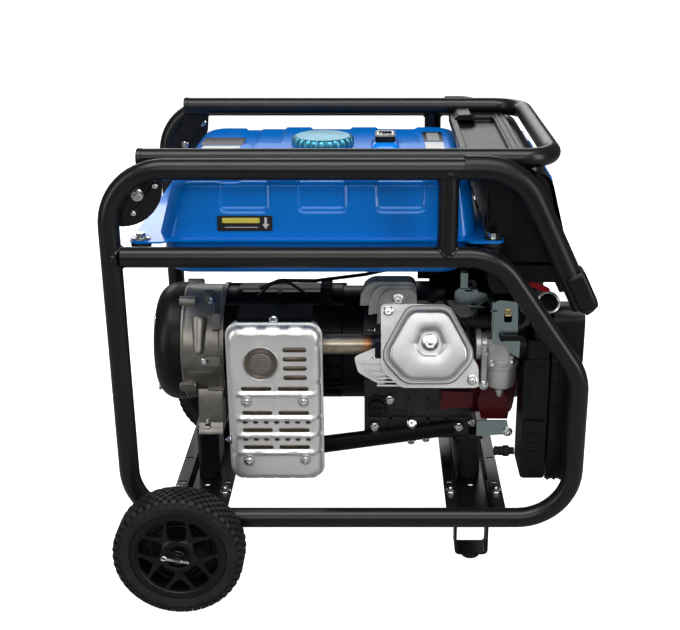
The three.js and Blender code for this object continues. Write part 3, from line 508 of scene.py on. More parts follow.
def lumpy_ring(points, r, lumps):
    """A weld bead: a closed run of overlapping beads along the points."""
    count = len(points)
    code = bmesh.new()
    loops = []
    for i, point in enumerate(points):
        ahead = (points[(i + 1) % count] - points[i - 1]).normalized()
        across = ahead.cross(Vector((0.3, 0.5, 0.8))).normalized()
        up = ahead.cross(across)
        size = r * (1 + 0.22 * math.sin(lumps * 2 * math.pi * i / count) + 0.1 * math.sin(5.3 * i))
        loops.append([
            code.verts.new(point + across * a * size + up * b * size) for a, b in ring_points(1, 8)])
    for i in range(count):
        low, high = loops[i], loops[(i + 1) % count]
        for k in range(8):
            m = (k + 1) % 8
            code.faces.new((low[k], low[m], high[m], high[k]))
    return code


def saddle_weld(centre, main, branch, main_r, branch_r):
    """The bead where a branch tube meets the side of a main tube."""
    centre, main, branch = Vector(centre), Vector(main), Vector(branch)
    third = main.cross(branch)
    points = []
    count = 72
    for i in range(count):
        angle = 2 * math.pi * i / count
        out = math.sqrt(max(main_r ** 2 - (branch_r * math.sin(angle)) ** 2, 1.0))
        points.append(
            centre + branch * out + main * branch_r * math.cos(angle) + third * branch_r * math.sin(angle))
    return lumpy_ring(points, 2.1, 18)


def facing(part, at, direction):
    """Turns a part made along +Z to point along direction, at a place."""
    turn = Vector((0, 0, 1)).rotation_difference(Vector(direction)).to_matrix().to_4x4()
    return placed(part, Matrix.Translation(at) @ turn)


def hexagon_outline(r):
    return [(r * math.cos(math.radians(60 * i)), r * math.sin(math.radians(60 * i))) for i in range(6)]


def hex_bolt(at, direction, r, washer, thread):
    """A flanged hex head standing on a surface, with the end of its thread where it is a nut."""
    top = 1.6 + r * 0.8
    head = prism(hexagon_outline(r), "z", 1.6, top, r * 0.09, 1)
    flange = turned([(0, 0), (washer, 0), (washer, 1), (r * 0.95, 2.2), (0, 2.2)], "z", (0, 0, 0), 28)
    parts = [head, flange]
    if thread:
        pitch = 1.2
        profile = [(0, top - 1)]
        for i in range(int(thread / pitch)):
            profile += [(r * 0.5, top + i * pitch), (r * 0.42, top + i * pitch + 0.6)]
        profile.append((0, top + thread))
        parts.append(turned(profile, "z", (0, 0, 0), 16))
    else:
        crown = [(0, 5), (r * 0.5, top), (r * 0.4, 1.9 + r * 0.8), (0, 1.9 + r * 0.8)]
        parts.append(turned(crown, "z", (0, 0, 0), 20))
    return facing(joined(*parts), at, direction)


def cross_screw(at, direction, r, washer=0.0):
    """A pan-head screw with a cross recess."""
    head = turned(
        [(0, 0), (r, 0), (r, 1.2), (r * 0.9, 2.4), (r * 0.6, 3.4), (0, 3.8)], "z", (0, 0, 0), 28)
    slots = [block(-r * 0.55, r * 0.55, -0.7, 0.7, 1.8, 6), block(-0.7, 0.7, -r * 0.55, r * 0.55, 1.8, 6)]
    screw = carved(head, *slots)
    if washer:
        screw = joined(screw, turned([(0, -1), (washer, -1), (washer, 0.1), (0, 0.1)], "z", (0, 0, 0), 32))
    return facing(screw, at, direction)


def refined(node):
    """A CAD node shown through a copy with rounded edges."""
    code = bmesh.new()
    code.from_mesh(frame["nodes"][node].data)
    bmesh.ops.remove_doubles(code, verts=code.verts, dist=1e-6)
    bmesh.ops.dissolve_limit(
        code, angle_limit=math.radians(1), verts=code.verts, edges=code.edges, delimit=set())
    placed(code, TO_WORLD.inverted())
    eased(code, 0.8)
    show(f"{node}_skin", code, SLOT_OF[node], [node], sharp=40, body=BODY_OF[node])


# ---- frame -------------------------------------------------------------------------------
def upper_end():
    """Where the frame's sloping upper tube ends, as (X, Z)."""
    slope = math.radians(BENDS["upper_slope"])
    run = BENDS["upper_run"]
    return BENDS["upper_x"] + run * math.cos(slope), TUBE["top"] - run * math.sin(slope)


def side_route(side):
    drop = (TUBE["right"] - BENDS["mid_x"]) * math.tan(math.radians(BENDS["lower_slope"]))
    left, right, top, mid, bottom = (TUBE[key] for key in ("left", "right", "top", "mid", "bottom"))
    flat = [
        upper_end(), (BENDS["upper_x"], top), (left, top), (left, bottom), (right, bottom),
        (right, mid - drop), (BENDS["mid_x"], mid), (left + TUBE["r"], mid),
    ]
    return [(x, side * TUBE["side"], z) for x, z in flat]


def gusset(side):
    outline = [(-335, 586), (-318, 584)] + arc(-318, 644, 60, -90, -14, 8) + [(-256, 668)]
    outline += arc(-253, 586, 82, 90, 180, 10)
    y = side * GUSSET["y"]
    plate = prism(outline, "y", y - GUSSET["t"] / 2, y + GUSSET["t"] / 2)
    return eased(plate, 0.8)


def side_frame(side, name):
    y = side * TUBE["side"]
    r = TUBE["r"]
    parts = [
        tube(side_route(side), r, TUBE["bend"], 36, 14),
        rod("z", STUB["r"], TUBE["mid"], TUBE["top"], (STUB["x"], y), 36),
        gusset(side),
        saddle_weld((STUB["x"], y, TUBE["mid"]), (1, 0, 0), (0, 0, 1), r, STUB["r"]),
        saddle_weld((STUB["x"], y, TUBE["top"]), (1, 0, 0), (0, 0, -1), r, STUB["r"]),
        saddle_weld((TUBE["left"], y, TUBE["mid"]), (0, 0, 1), (1, 0, 0), r, r - 0.3),
    ]
    for x in TANK_MOUNT_X:
        y0, y1 = sorted((side * 190, side * 236))
        parts.append(block(x - 20, x + 20, y0, y1, 528, 532, 1))
    show(f"frame_tube_{name}", parts, "frame_black", [f"side_frame_{name}"])


def gusset_bolts(side, name):
    y = side * (GUSSET["y"] + GUSSET["t"] / 2)
    out = (0, side, 0)
    fasteners = joined(
        hex_bolt((HANDLE["pivot_x"], y, HANDLE["pivot_z"]), out, 6.6, 9, 2.4),
        cross_screw((-268, y, 643), out, 4.6), cross_screw((-301, y, 603.5), out, 4.6))
    show(f"gusset_bolts_{name}", fasteners, "bright_fastener")
    inner = side * (GUSSET["y"] - GUSSET["t"] / 2)
    nuts = [hex_bolt((x, inner, z), (0, -side, 0), 5, 6.5, 2.4) for x, z in ((-268, 643), (-301, 603.5))]
    show(f"gusset_nuts_{name}", nuts, "bright_fastener")


def hat_rail(x):
    half, web, top, depth, t = (RAIL[key] for key in ("half", "web", "top", "depth", "t"))
    outline = [
        (-half, top), (-web, top), (4 - web, top - depth), (web - 4, top - depth), (web, top), (half, top),
        (half, top - t), (web + 3, top - t), (web - 1, top - depth - t), (1 - web, top - depth - t),
        (-web - 3, top - t), (-half, top - t),
    ]
    reach = TUBE["side"] - TUBE["r"] - 0.3
    bar = prism([(x + u, z) for u, z in outline], "y", -reach, reach, 0.9)
    slots = []
    for flange in (-1, 1):
        for y in (-142, -60, 60, 142):
            u = x + flange * (web + half) / 2
            slots.append(prism(round_rect(u - 6, u + 6, y - 3, y + 3, 2.9), "z", top - 8, top + 6))
    for y in (-120, 120):
        slots.append(prism(round_rect(x - 5, x + 5, y - 4, y + 4, 3.9), "z", top - depth - 8, top))
    return carved(bar, *slots)


def rails():
    show("rail_left_bar", hat_rail(RAIL["left"]), "frame_black", ["rail_left"])
    parts = [hat_rail(RAIL["right"])]
    for side in (-1, 1):
        y0, y1 = sorted((side * 132, side * 172))
        x = RAIL["right"]
        strap = [(x - 27, 127), (x - 27, 20)] + arc(x - 19, 20, 8, 180, 270, 5)
        strap += arc(x + 19, 20, 8, 270, 360, 5) + [(x + 27, 127), (x + 24, 127), (x + 24, 20)]
        strap += arc(x + 19, 20, 5, 0, -90, 5) + arc(x - 19, 20, 5, 270, 180, 5)
        strap += [(x - 24, 20), (x - 24, 127)]
        parts.append(prism(strap, "y", y0, y1, 0.8))
    show("rail_right_bar", parts, "frame_black", ["rail_right"])


def rail_bolts():
    bolts = []
    for x in (RAIL["left"], RAIL["right"]):
        for flange in (-1, 1):
            for y in (-174, 174):
                bolts.append(hex_bolt((x + flange * 36.5, y, RAIL["top"]), (0, 0, 1), 7, 9, 3))
    show("rail_bolts", bolts, "bright_fastener")


def foot_pads():
    for side, name in ((-1, "near"), (1, "far")):
        profile = [
            (0, 0), (13, 0), (14.6, 1.2), (15, 3), (13.2, 5), (13.8, 7), (13, 11.6), (0, 11.6)]
        pad = turned(profile, "z", (RAIL["right"], side * 152, 0), 40)
        show(f"foot_rubber_{name}", pad, "rubber", [f"foot_pad_{name}"])


def trolley_handle():
    y, z, r, left, right = (HANDLE[key] for key in ("y", "z", "r", "left", "right"))
    bow = tube([(left, -y, z), (right, -y, z), (right, y, z), (left, y, z)], r, HANDLE["bend"], 36, 14)
    px, pz = HANDLE["pivot_x"], HANDLE["pivot_z"]
    parts = [bow]
    for side in (-1, 1):
        y0, y1 = sorted((side * 220, side * 224))
        ear = [(px + 8, z + 4)] + arc(px, pz, HANDLE["ear"], 180, 360, 12)
        ear += [(px + 46, z - 10), (px + 46, z + 4)]
        parts.append(prism(ear, "y", y0, y1, 0.8))
        parts.append(rod("x", r + 0.6, left - 3, left + 6, (side * y, z), 36, 1.5))
    show("handle_tube", parts, "frame_black", ["trolley_handle"], body="handle")


# ---- wheels ------------------------------------------------------------------------------
def wheel_place(name):
    low, high = corners(f"tyre_{name}")
    centre = (low + high) / 2
    return centre, (high.x - low.x) / 2, (high.y - low.y) / 2


def tyre(name):
    centre, r, half = wheel_place(name)
    hole = r - 25
    profile = [
        (hole, -half + 3), (hole + 6, -half + 1), (r - 13, -half), (r - 7, -half + 3), (r - 4.5, -half + 9),
        (r - 4, 0), (r - 4.5, half - 9), (r - 7, half - 3), (r - 13, half), (hole + 6, half - 1),
        (hole, half - 3), (hole, -half + 3),
    ]
    body = turned(profile, "y", (0, 0, 0), 120)
    blocks = []
    count = 46
    step = 360 / count
    rows = [(-0.62, 0.5), (-0.31, 0.0), (0.0, 0.5), (0.31, 0.0), (0.62, 0.5)]
    for i in range(count):
        for place, stagger in rows:
            y = place * half
            lug = prism([(-4.6, -3.4), (2.2, -4.2), (4.6, 3.2), (-2.4, 4.2)], "z", r - 5.5, r - 0.3)
            turn = Matrix.Rotation(math.radians((i + stagger) * step), 4, "Y")
            blocks.append(placed(lug, turn @ Matrix.Translation((0, y, 0))))
        for side in (-1, 1):
            outline = [
                (0.74, r - 6), (0.74, r - 1.2), (0.86, r - 1.8), (0.98, r - 5), (1.0, r - 10), (0.9, r - 10)]
            shoulder = prism([(side * u * half, v) for u, v in outline], "x", -3.6, 3.6)
            blocks.append(placed(shoulder, Matrix.Rotation(math.radians(i * step), 4, "Y")))
    whole = placed(joined(body, *blocks), Matrix.Translation(centre))
    show(f"tyre_tread_{name}", whole, "tyre", [f"tyre_{name}"], sharp=25, body=f"wheel_{name}")


def spoke_window(middle, outline):
    """Turns an outline drawn round +X (radius, sideways) to an angle, as (X, Z) points."""
    turn = math.radians(middle)
    return [
        (u * math.cos(turn) - v * math.sin(turn), u * math.sin(turn) + v * math.cos(turn))
        for u, v in outline
    ]


def rim(name):
    """Five wide and five three-cornered windows in a plate, with a recess round the hub."""
    centre, r, half = wheel_place(name)
    outer = r - 25.3
    hub = 19
    side = -1 if name == "near" else 1
    lip = half - 6
    dish = [
        (6.4, -half), (11, -half), (11.8, -half + 1), (11.8, -half + 9), (18, -half + 9),
        (18.6, -half + 3.2), (20, -half + 2.4), (26, -half + 2.8), (29.5, -half + 5.4),
        (outer - 10.5, -half + 5.4), (outer - 9.4, -half + 4), (outer - 1, -half + 3.6),
        (outer, -half + 4.6), (outer, lip), (outer - 5, lip), (outer - 9, lip - 2),
        (outer - 11, lip - 4), (outer - 11, -half + 12), (hub + 10, -half + 13),
        (hub, -half + 15), (hub, half), (6.4, half), (6.4, -half),
    ]
    body = turned([(a, b * -side) for a, b in dish], "y", (0, 0, 0), 96)
    windows = []
    wide = [(27, -12.5), (26, 0), (27, 12.5), (42, 14.4), (56, 13.8), (59.6, 10.5), (61, 0), (59.6, -10.5),
            (56, -13.8), (42, -14.4)]
    narrow = [(39, 0), (52.5, 15.6), (58, 15), (61.4, 0), (58, -15), (52.5, -15.6)]
    y0, y1 = sorted((side * (lip - 16), side * (half + 4)))
    for i in range(5):
        for offset, outline in ((90, wide), (54, narrow)):
            hole = prism(spoke_window(offset + i * 72, outline), "y", y0, y1)
            windows.append(eased(hole, 1.8, 2, 20))
    body = eased(carved(body, *windows), 0.9, 2, 35)
    ring_y = side * (half - 19)
    ring = turned(hoop(45, 47, ring_y - 3, ring_y + 3), "y", (0, 0, 0), 72)
    back = -side * (lip - 8)
    wall = turned(hoop(hub - 2, outer - 10, back - 1, back + 1), "y", (0, 0, 0), 72)
    whole = placed(joined(body, ring, wall), Matrix.Translation(centre))
    show(f"rim_spokes_{name}", whole, "black_plastic", [f"rim_{name}"], body=f"wheel_{name}")


def hub_cap(name):
    """The cap, washer and split pin on the axle's end."""
    centre, _, half = wheel_place(name)
    side = -1 if name == "near" else 1
    face = centre.y + side * half
    profile = [(0, 0), (9, 0), (9, 3), (8, 4.5), (5.5, 5), (5, 3.4), (0, 3.4)]
    cap = facing(turned(profile, "z", (0, 0, 0), 40), (centre.x, face, centre.z), (0, side, 0))
    show(f"axle_end_{name}", cap, "gloss_black")
    pin_y = face + side * 6.8
    legs = []
    for d in (-0.9, 0.9):
        leg = [
            (centre.x - 17, pin_y, centre.z + 3 + d), (centre.x, pin_y, centre.z + d),
            (centre.x + 18, pin_y, centre.z - 3.4 + d)]
        legs.append(tube(leg, 1.3, 8, 10, 6))
    eye_rings = []
    for k in range(20):
        a = math.radians(18 * k)
        place = (centre.x - 19 + 3.6 * math.cos(a), pin_y, centre.z + 3.6 + 3 * math.sin(a))
        eye_rings.append((Vector(place), Vector((-math.sin(a), 0, math.cos(a)))))
    eye = swept(ring_points(1.1, 10), eye_rings, closed=True)
    show(f"split_pin_{name}", [*legs, eye], "bright_fastener")


# ---- tank --------------------------------------------------------------------------------
TANK = dict(x0=-282, x1=190, half=205, flange=556, flange_t=3, bottom=498, cap_x=-45, neck=32)
TANK_TOP = corners("fuel_cap")[0].z - 3
PANELS = [-149.5, -38, 73.5]
PANEL_HALF = 35.5


def dense_rect(x0, x1, y0, y1, r, along_x, along_y, steps=8):
    """A rounded rectangle with evenly spread points on its straight sides too."""
    turns = [
        arc(x1 - r, y0 + r, r, -90, 0, steps), arc(x1 - r, y1 - r, r, 0, 90, steps),
        arc(x0 + r, y1 - r, r, 90, 180, steps), arc(x0 + r, y0 + r, r, 180, 270, steps),
    ]
    points = []
    for i, turn in enumerate(turns):
        count = along_x if i % 2 else along_y
        a, b = Vector(turn[-1]), Vector(turns[(i + 1) % 4][0])
        points += [Vector(p) for p in turn] + [a.lerp(b, k / count) for k in range(1, count)]
    return points


def skinned(rings, cap_first=True):
    """A surface through rings that all have the same number of points, closed at the last one."""
    code = bmesh.new()
    loops = [[code.verts.new(p) for p in ring] for ring in rings]
    count = len(loops[0])
    for low, high in zip(loops, loops[1:]):
        for i in range(count):
            j = (i + 1) % count
            code.faces.new((low[i], low[j], high[j], high[i]))
    if cap_first:
        code.faces.new(loops[0])
    code.faces.new(loops[-1])
    return code


def smooth(t):
    """0 below 0, 1 above 1, and an eased step between."""
    t = min(max(t, 0.0), 1.0)
    return t * t * (3 - 2 * t)


def rounded_box_depth(u, v, half_u, v0, v1, corner, blend):
    """1 well inside a rounded rectangle, 0 outside, easing over blend."""
    du = abs(u) - (half_u - corner)
    dv = abs(v - (v0 + v1) / 2) - ((v1 - v0) / 2 - corner)
    outside = math.hypot(max(du, 0), max(dv, 0)) + min(max(du, dv), 0) - corner
    return smooth(-outside / blend)


def tank_levels():
    """(inset, height, distance along the skin, how far up the rounded edge), flange to top."""
    levels = []
    side_top = TANK_TOP - 17
    base = TANK["flange"] + TANK["flange_t"]
    along = 0.0
    last = None
    sides = [(5 + 9 * k / 22, base + (side_top - base) * k / 22) for k in range(23)]
    crown = [
        (14 + 23 * (1 - math.cos(a)), side_top + 17 * math.sin(a))
        for a in [math.radians(9 * k) for k in range(1, 11)]
    ]
    for inset, z in sides + crown:
        if last:
            along += math.hypot(inset - last[0], z - last[1])
        last = (inset, z)
        lift = min(max((z - side_top) / 17, 0), 1)
        levels.append((inset, z, along, lift))
    return levels


def tank_shell():
    levels = tank_levels()
    base = TANK["flange"] + TANK["flange_t"]
    top_along = levels[-1][2]
    panel_foot = 596 - TANK["flange"] - TANK["flange_t"]
    flat = [(levels[-1][0] + 3.4 * k, TANK_TOP, top_along + 3.4 * k, 1.0) for k in range(1, 46)]
    rings = []
    for inset, z, along, lift in levels + flat:
        corner = max(36 - inset * 0.35, 7)
        plan = dense_rect(
            TANK["x0"] + inset, TANK["x1"] - inset, -TANK["half"] + inset, TANK["half"] - inset,
            corner, 132, 112)
        ring = []
        for p in plan:
            x, y = p
            x += 13 * smooth((-150 - x) / 120) * (z - base) / (TANK_TOP - base)
            reach = along if lift < 1 else top_along + TANK["half"] - 37 - abs(y)
            facing_side = abs(y) > TANK["half"] - inset - 0.5 or lift == 1
            sink = 0.0
            if facing_side:
                for middle in PANELS:
                    sink += 3.2 * rounded_box_depth(
                        x - middle, reach, PANEL_HALF, panel_foot, top_along + 123, 8, 3.4)
            step = 1.8 * smooth((-155 - x) / 4) * smooth((z - TANK_TOP + 16) / 14)
            out = math.copysign(1, y) * sink * math.sqrt(max(1 - lift * lift, 0))
            ring.append(Vector((x, y - out, z - sink * lift - step)))
        rings.append(ring)
    return skinned(rings, cap_first=False)


def tank_pan():
    """The lower pressing, rounded into its flat bottom."""
    rings = []
    for k in range(11):
        a = math.radians(9 * k)
        inset = 20 * (1 - math.cos(a))
        z = TANK["bottom"] + 22 * (1 - math.sin(a))
        rings.append((inset, z))
    rings = [(0, TANK["flange"])] + rings
    loops = []
    for inset, z in rings:
        plan = dense_rect(
            TANK["x0"] + 10 + inset, TANK["x1"] - 18 - inset, -TANK["half"] + 14 + inset,
            TANK["half"] - 14 - inset, max(34 - inset * 0.5, 8), 6, 6)
        loops.append([Vector((p.x, p.y, z)) for p in plan])
    return skinned(loops, cap_first=False)


def tank_flange():
    x0, x1, half = TANK["x0"] - 30, TANK["x1"] + 8, TANK["half"] + 7
    z0, z1 = TANK["flange"], TANK["flange"] + TANK["flange_t"]
    parts = [prism(round_rect(x0, x1, -half, half, 38, 10), "z", z0, z1, 1.1, 3)]
    for side in (-1, 1):
        for x, inward in zip(TANK_MOUNT_X, (40, -40)):
            y0, y1 = sorted((side * 188, side * 222))
            tab = round_rect(min(x - 16, x + inward), max(x + 16, x + inward), y0, y1, 13, 8)
            parts.append(prism(tab, "z", z0 - 0.05, z1 - 0.05, 1.1, 3))
    return joined(*parts)


def gauge_boss():
    rings = []
    for k in range(9):
        a = math.radians(11.25 * k)
        inset = 7 * (1 - math.cos(a)) + 2 * math.sin(a)
        z = TANK_TOP - 1 + 10 * math.sin(a)
        plan = dense_rect(30 + inset, 76 - inset, -16 + inset * 1.6, 60 - inset, 12, 4, 6)
        rings.append([Vector((p.x, p.y, z)) for p in plan])
    return skinned(rings, cap_first=False)


def tank():
    cap_x, neck = TANK["cap_x"], TANK["neck"]
    profile = [
        (neck - 3, TANK_TOP - 2), (neck + 19, TANK_TOP - 0.4), (neck + 17, TANK_TOP + 1.2),
        (neck + 2, TANK_TOP + 2), (neck, TANK_TOP + 8), (neck - 2, TANK_TOP + 9),
        (neck - 3, TANK_TOP - 2),
    ]
    collar = turned(profile, "z", (cap_x, 0, 0), 72)
    whole = joined(tank_shell(), tank_pan(), tank_flange(), gauge_boss(), collar)
    show("tank_shell", whole, "tank_blue", ["fuel_tank"], sharp=50)


def tank_fasteners():
    """A waisted rubber bush, a washer and a bolt at each corner of the tank."""
    bush_profile = [
        (0, 532.3), (14, 532.3), (15, 535), (14, 538), (11, 540), (11, 546), (14, 548), (15, 552),
        (13, 555.6), (0, 555.6)]
    washer_profile = [(0, 559.2), (13.6, 559.2), (14, 560), (12, 561.4), (9, 561.8), (0, 561.8)]
    count = 0
    for x in TANK_MOUNT_X:
        for side in (-1, 1):
            count += 1
            y = side * TANK_MOUNT_Y
            bush = turned(bush_profile, "z", (x, y, 0), 40)
            show(f"tank_bush_{count}", bush, "rubber", [f"tank_mount_{count}"])
            washer = turned(washer_profile, "z", (x, y, 0), 40)
            bolt = joined(washer, hex_bolt((x, y, 561.2), (0, 0, 1), 6.8, 9, 0))
            show(f"tank_bolt_{count}", bolt, "bright_fastener")


def lobed(profile, axis, centre, lobes, depth, sides):
    """A turned body whose widest part is scalloped."""
    body = turned(profile, axis, centre, sides)
    middle = Vector(centre)
    widest = max(r for r, _ in profile)
    for vertex in body.verts:
        out = vertex.co - middle
        r = math.hypot(out.x, out.y)
        if r > widest - 6:
            wave = 0.5 + 0.5 * math.cos(lobes * math.atan2(out.y, out.x))
            shrink = 1 - depth * wave ** 3 / r
            vertex.co = middle + Vector((out.x * shrink, out.y * shrink, out.z))
    return body


def fuel_cap():
    z0 = TANK_TOP + 3
    profile = [
        (36.5, z0 + 0.4), (47, z0 + 0.4), (49, z0 + 1.8), (49.4, z0 + 6), (49, z0 + 12),
        (47, z0 + 15.4), (44, z0 + 16.8), (42, z0 + 17.6), (40, z0 + 17.3), (30, z0 + 18.2),
        (14, z0 + 18.9), (0, z0 + 19), (0, z0 + 15), (35, z0 + 14), (36.5, z0 + 12),
        (36.5, z0 + 0.4),
    ]
    cap = lobed(profile, "z", (TANK["cap_x"], 0, 0), 22, 3.0, 352)
    show("cap_knurled", cap, "cap_anodised", ["fuel_cap"], sharp=50, body="fuel_cap")


def fuel_gauge():
    base = TANK_TOP + 9.3
    body = prism(round_rect(37, 69, 0, 52, 7), "z", base, base + 9, 1.6, 3)
    well = prism(round_rect(41.5, 64.5, 9, 43, 4), "z", base + 6, base + 20)
    show("gauge_housing", carved(body, well), "black_plastic", ["fuel_gauge"])
    dial = prism(round_rect(42, 64, 9.5, 42.5, 3.5), "z", base + 6.1, base + 7.4, 0.4, 1)
    show("gauge_dial", dial, "screen")
    marks = [
        block(44.5, 48, y - 0.8, y + 0.8, base + 7.3, base + 7.8, 0.2, 1)
        for y in range(14, 40, 6)
    ]
    needle_place = Matrix.Translation((57, 20, base + 7.6)) @ Matrix.Rotation(-0.5, 4, "Z")
    needle = placed(block(-0.6, 0.6, -12, 3, 0, 1), needle_place)
    show("gauge_marks", [needle, *marks], "label_white")
    rim_trim = carved(
        prism(round_rect(40, 66, 7.5, 44.5, 5), "z", base + 9, base + 10),
        prism(round_rect(42.5, 63.5, 10, 42, 3), "z", base + 8, base + 11))
    show("gauge_trim", rim_trim, "bright_fastener")


def flat_label(name, x0, x1, y0, y1, z, finish):
    plate = prism(round_rect(x0, x1, y0, y1, 2, 3), "z", z, z + 0.35)
    show(name, plate, finish)


def tank_labels():
    """Plain decals without words: on the top, and on the near side under the first panel."""
    step, top = TANK_TOP - 1.75, TANK_TOP + 0.05
    flat_label("decal_left_dark", -243, -176, 30, 88, step, "label_black")
    flat_label("decal_left_pale", -238, -178, -58, 24, step, "label_white")
    flat_label("decal_right_dark", 116, 148, 52, 128, top, "label_black")
    bars = [
        block(122, 142, y, y + 3, TANK_TOP + 0.4, TANK_TOP + 0.75, 0.1, 1)
        for y in range(60, 122, 9)
    ]
    show("decal_right_bars", bars, "label_white")
    flat_label("decal_right_pale", 117, 147, -48, 46, top, "label_white")
    lean = Matrix.Translation((0, -198.8, 579.5)) @ Matrix.Rotation(math.radians(90 - 7.5), 4, "X")
    plate = placed(prism(round_rect(-189, -110, -11, 11, 2.5, 4), "z", 0, 0.5), lean)
    show("side_label_plate", plate, "label_black")
    stripe = placed(prism(round_rect(-182, -128, 0.5, 8, 2, 4), "z", 0.4, 0.8), lean)
    show("side_label_stripe", stripe, "label_yellow")
    arrow = [
        (-121.3, 8.5), (-117.7, 8.5), (-117.7, -1), (-114.5, -1), (-119.5, -8.5), (-124.5, -1),
        (-121.3, -1)]
    dash = block(-178, -131, -6.2, -5.2, 0.4, 0.8)
    marks = placed(joined(prism(arrow, "z", 0.4, 0.8), dash), lean)
    show("side_label_arrow", marks, "label_white")


# ---- control panel -----------------------------------------------------------------------
OUTLET_Y = [-112, -46]


def tube_cover(side):
    """The half shell over the upper tube, with the thicker block at its foot."""
    slope = math.radians(BENDS["upper_slope"])
    end_x, end_z = upper_end()
    y = side * TUBE["side"]
    down = Vector((math.cos(slope), 0, -math.sin(slope)))
    end = Vector((end_x, y, end_z)) + down * 8
    route = [(160, y, TUBE["top"]), (BENDS["upper_x"], y, TUBE["top"]), end]
    outer = arc(0, 0, 19.6, 0, 180, 24)
    inner = arc(0, 0, TUBE["r"] + 0.5, 180, 0, 24)
    shell = swept(outer + inner, bent_route(route, TUBE["bend"], 14), side=(0, 1, 0))
    across = Vector((0, 1, 0))
    up = down.cross(across)
    foot_rings = []
    for back, size in ((62, 0.82), (60, 0.93), (56, 1), (16, 1), (10, 0.97), (5, 0.9), (3, 0.8)):
        place = end - down * back
        outline = [(u * size, 9 + (v - 9) * size) for u, v in round_rect(-22, 22, -6, 23.5, 9, 6)]
        foot_rings.append([place + across * u + up * v for u, v in outline])
    bore_rings = [(end - down * 90, down), (end - down * 8, down)]
    bore = swept(ring_points(TUBE["r"] + 0.6, 36), bore_rings, side=(0, 1, 0))
    foot = carved(skinned(foot_rings), bore)
    return joined(eased(shell, 1, 2, 50), foot)


def fascia_skin():
    outer = [(166, 654), (166, 659), (262, 659)] + arc(262, 633, 26, 84, 17, 8)
    outer += [(322, 507.5), (316, 506)] + arc(256, 633.5, 26, 17, 84, 8) + [(262, 654)]
    skin = eased(prism(outer, "y", -225.2, 225.2), 1, 2, 40)
    window = placed(prism(round_rect(-165, 165, -42, 42, 5), "x", -12, 14), ON_PANEL)
    return carved(skin, window)


def panel_fascia():
    parts = [fascia_skin()]
    for side in (-1, 1):
        y0, y1 = sorted((side * 219, side * 225.2))
        cheek = [(222, 652), (262, 657)] + arc(262, 633, 26, 84, 17, 6)
        cheek += [(322, 507.5), (338, 478), (327, 470)]
        parts.append(eased(prism(cheek, "y", y0, y1), 1.2, 2, 40))
        parts.append(tube_cover(side))
    top = prism(round_rect(163, 258, -184, 184, 14, 6), "z", 655, 669)
    tray = prism(round_rect(174, 236, -146, 146, 9, 5), "z", 661, 680)
    parts.append(eased(carved(top, tray), 2, 3, 40))
    ridge = [(168, 668), (176, 676), (196, 677), (206, 668)]
    parts.append(prism(ridge, "y", 120, 183, 1.5))
    for x in (240, 249):
        parts.append(block(x, x + 4, -170, 170, 667, 670.5, 1))
    show("fascia", parts, "black_plastic", ["panel_fascia"])
    lip = prism(round_rect(-172, 172, 45, 57, 3), "x", -1.5, 4.4, 1.2)
    show("panel_lip", placed(lip, ON_PANEL), "tank_blue")


def box_webs():
    """The folded webs between the tank and the control box, and the bracket under the box."""
    webs = []
    for side in (-1, 1):
        y0, y1 = sorted((side * 199, side * 204))
        web = [(191, 652), (232, 656), (232, 566), (214, 562)]
        webs.append(prism(web, "y", y0, y1, 1.5))
        y0, y1 = sorted((side * 60, side * 190))
        shelf = [
            (205, 513), (318, 513), (322, 500), (320, 473), (309, 471), (304, 487), (246, 487),
            (240, 470), (212, 470), (205, 480)]
        webs.append(prism(shelf, "y", y0, y1, 2.5))
    show("box_webs", webs, "black_plastic")


def panel_screws():
    screws = []
    for side in (-1, 1):
        for x, z in ((250, 622), (262, 600), (292, 560)):
            screws.append(cross_screw((x, side * 186, z), (0, side, 0), 4))
    show("box_screws", screws, "bright_fastener")


def outlet(y, index):
    """A mains socket's two contacts and rim, and the raised discs on its lid."""
    pins = [rod("x", 2.6, -31, -24, (y + d, -8), 20) for d in (-9.5, 9.5)]
    show(f"outlet_contacts_{index}", placed(joined(*pins), ON_PANEL), "brass_clip")
    ring = turned(hoop(19.2, 22, 3, 4.6), "x", (0, y, -8), 48)
    show(f"outlet_ring_{index}", placed(ring, ON_PANEL), "gloss_black")
    ribs = [rod("x", 3, 6.6, 8.6, (y, -28), 20, 0.6), rod("x", 17, 6.8, 8, (y, -8), 48, 0.6)]
    show(f"lid_boss_{index}", placed(joined(*ribs), ON_PANEL), "black_plastic", body=f"lid_{index}")


def panel_details():
    """Generic markings on the plate: thin strips under each control, and the meter's bars."""
    strips = []
    for y, width in ((-79, 120), (20, 24), (66, 34), (120, 54)):
        strips.append(prism(round_rect(y - width / 2, y + width / 2, -40.5, -37.5, 1), "x", -6.3, -5.9))
    show("panel_strips", placed(joined(*strips), ON_PANEL), "label_white")
    bars = []
    for i in range(8):
        bars.append(block(-1.1, -0.7, 101 + i * 5, 104 + i * 5, -6, 12 - abs(i - 4) * 2.4))
    show("meter_bars", placed(joined(*bars), ON_PANEL), "label_grey")
    pointer = block(11.8, 12.6, 65, 67, -16, -4, 0.3, 1)
    show("switch_pointer", placed(pointer, ON_PANEL), "label_white", body="switch")
    rocker = block(1.8, 3.2, 13, 27, -2, 11, 0.6)
    show("breaker_rocker", placed(rocker, ON_PANEL), "gloss_black", body="breaker")
    bolts = [
        placed(cross_screw((-6.3, y, z), (1, 0, 0), 3.4), ON_PANEL)
        for y in (-158, 158) for z in (-35, 35)
    ]
    show("plate_screws", bolts, "bright_fastener")


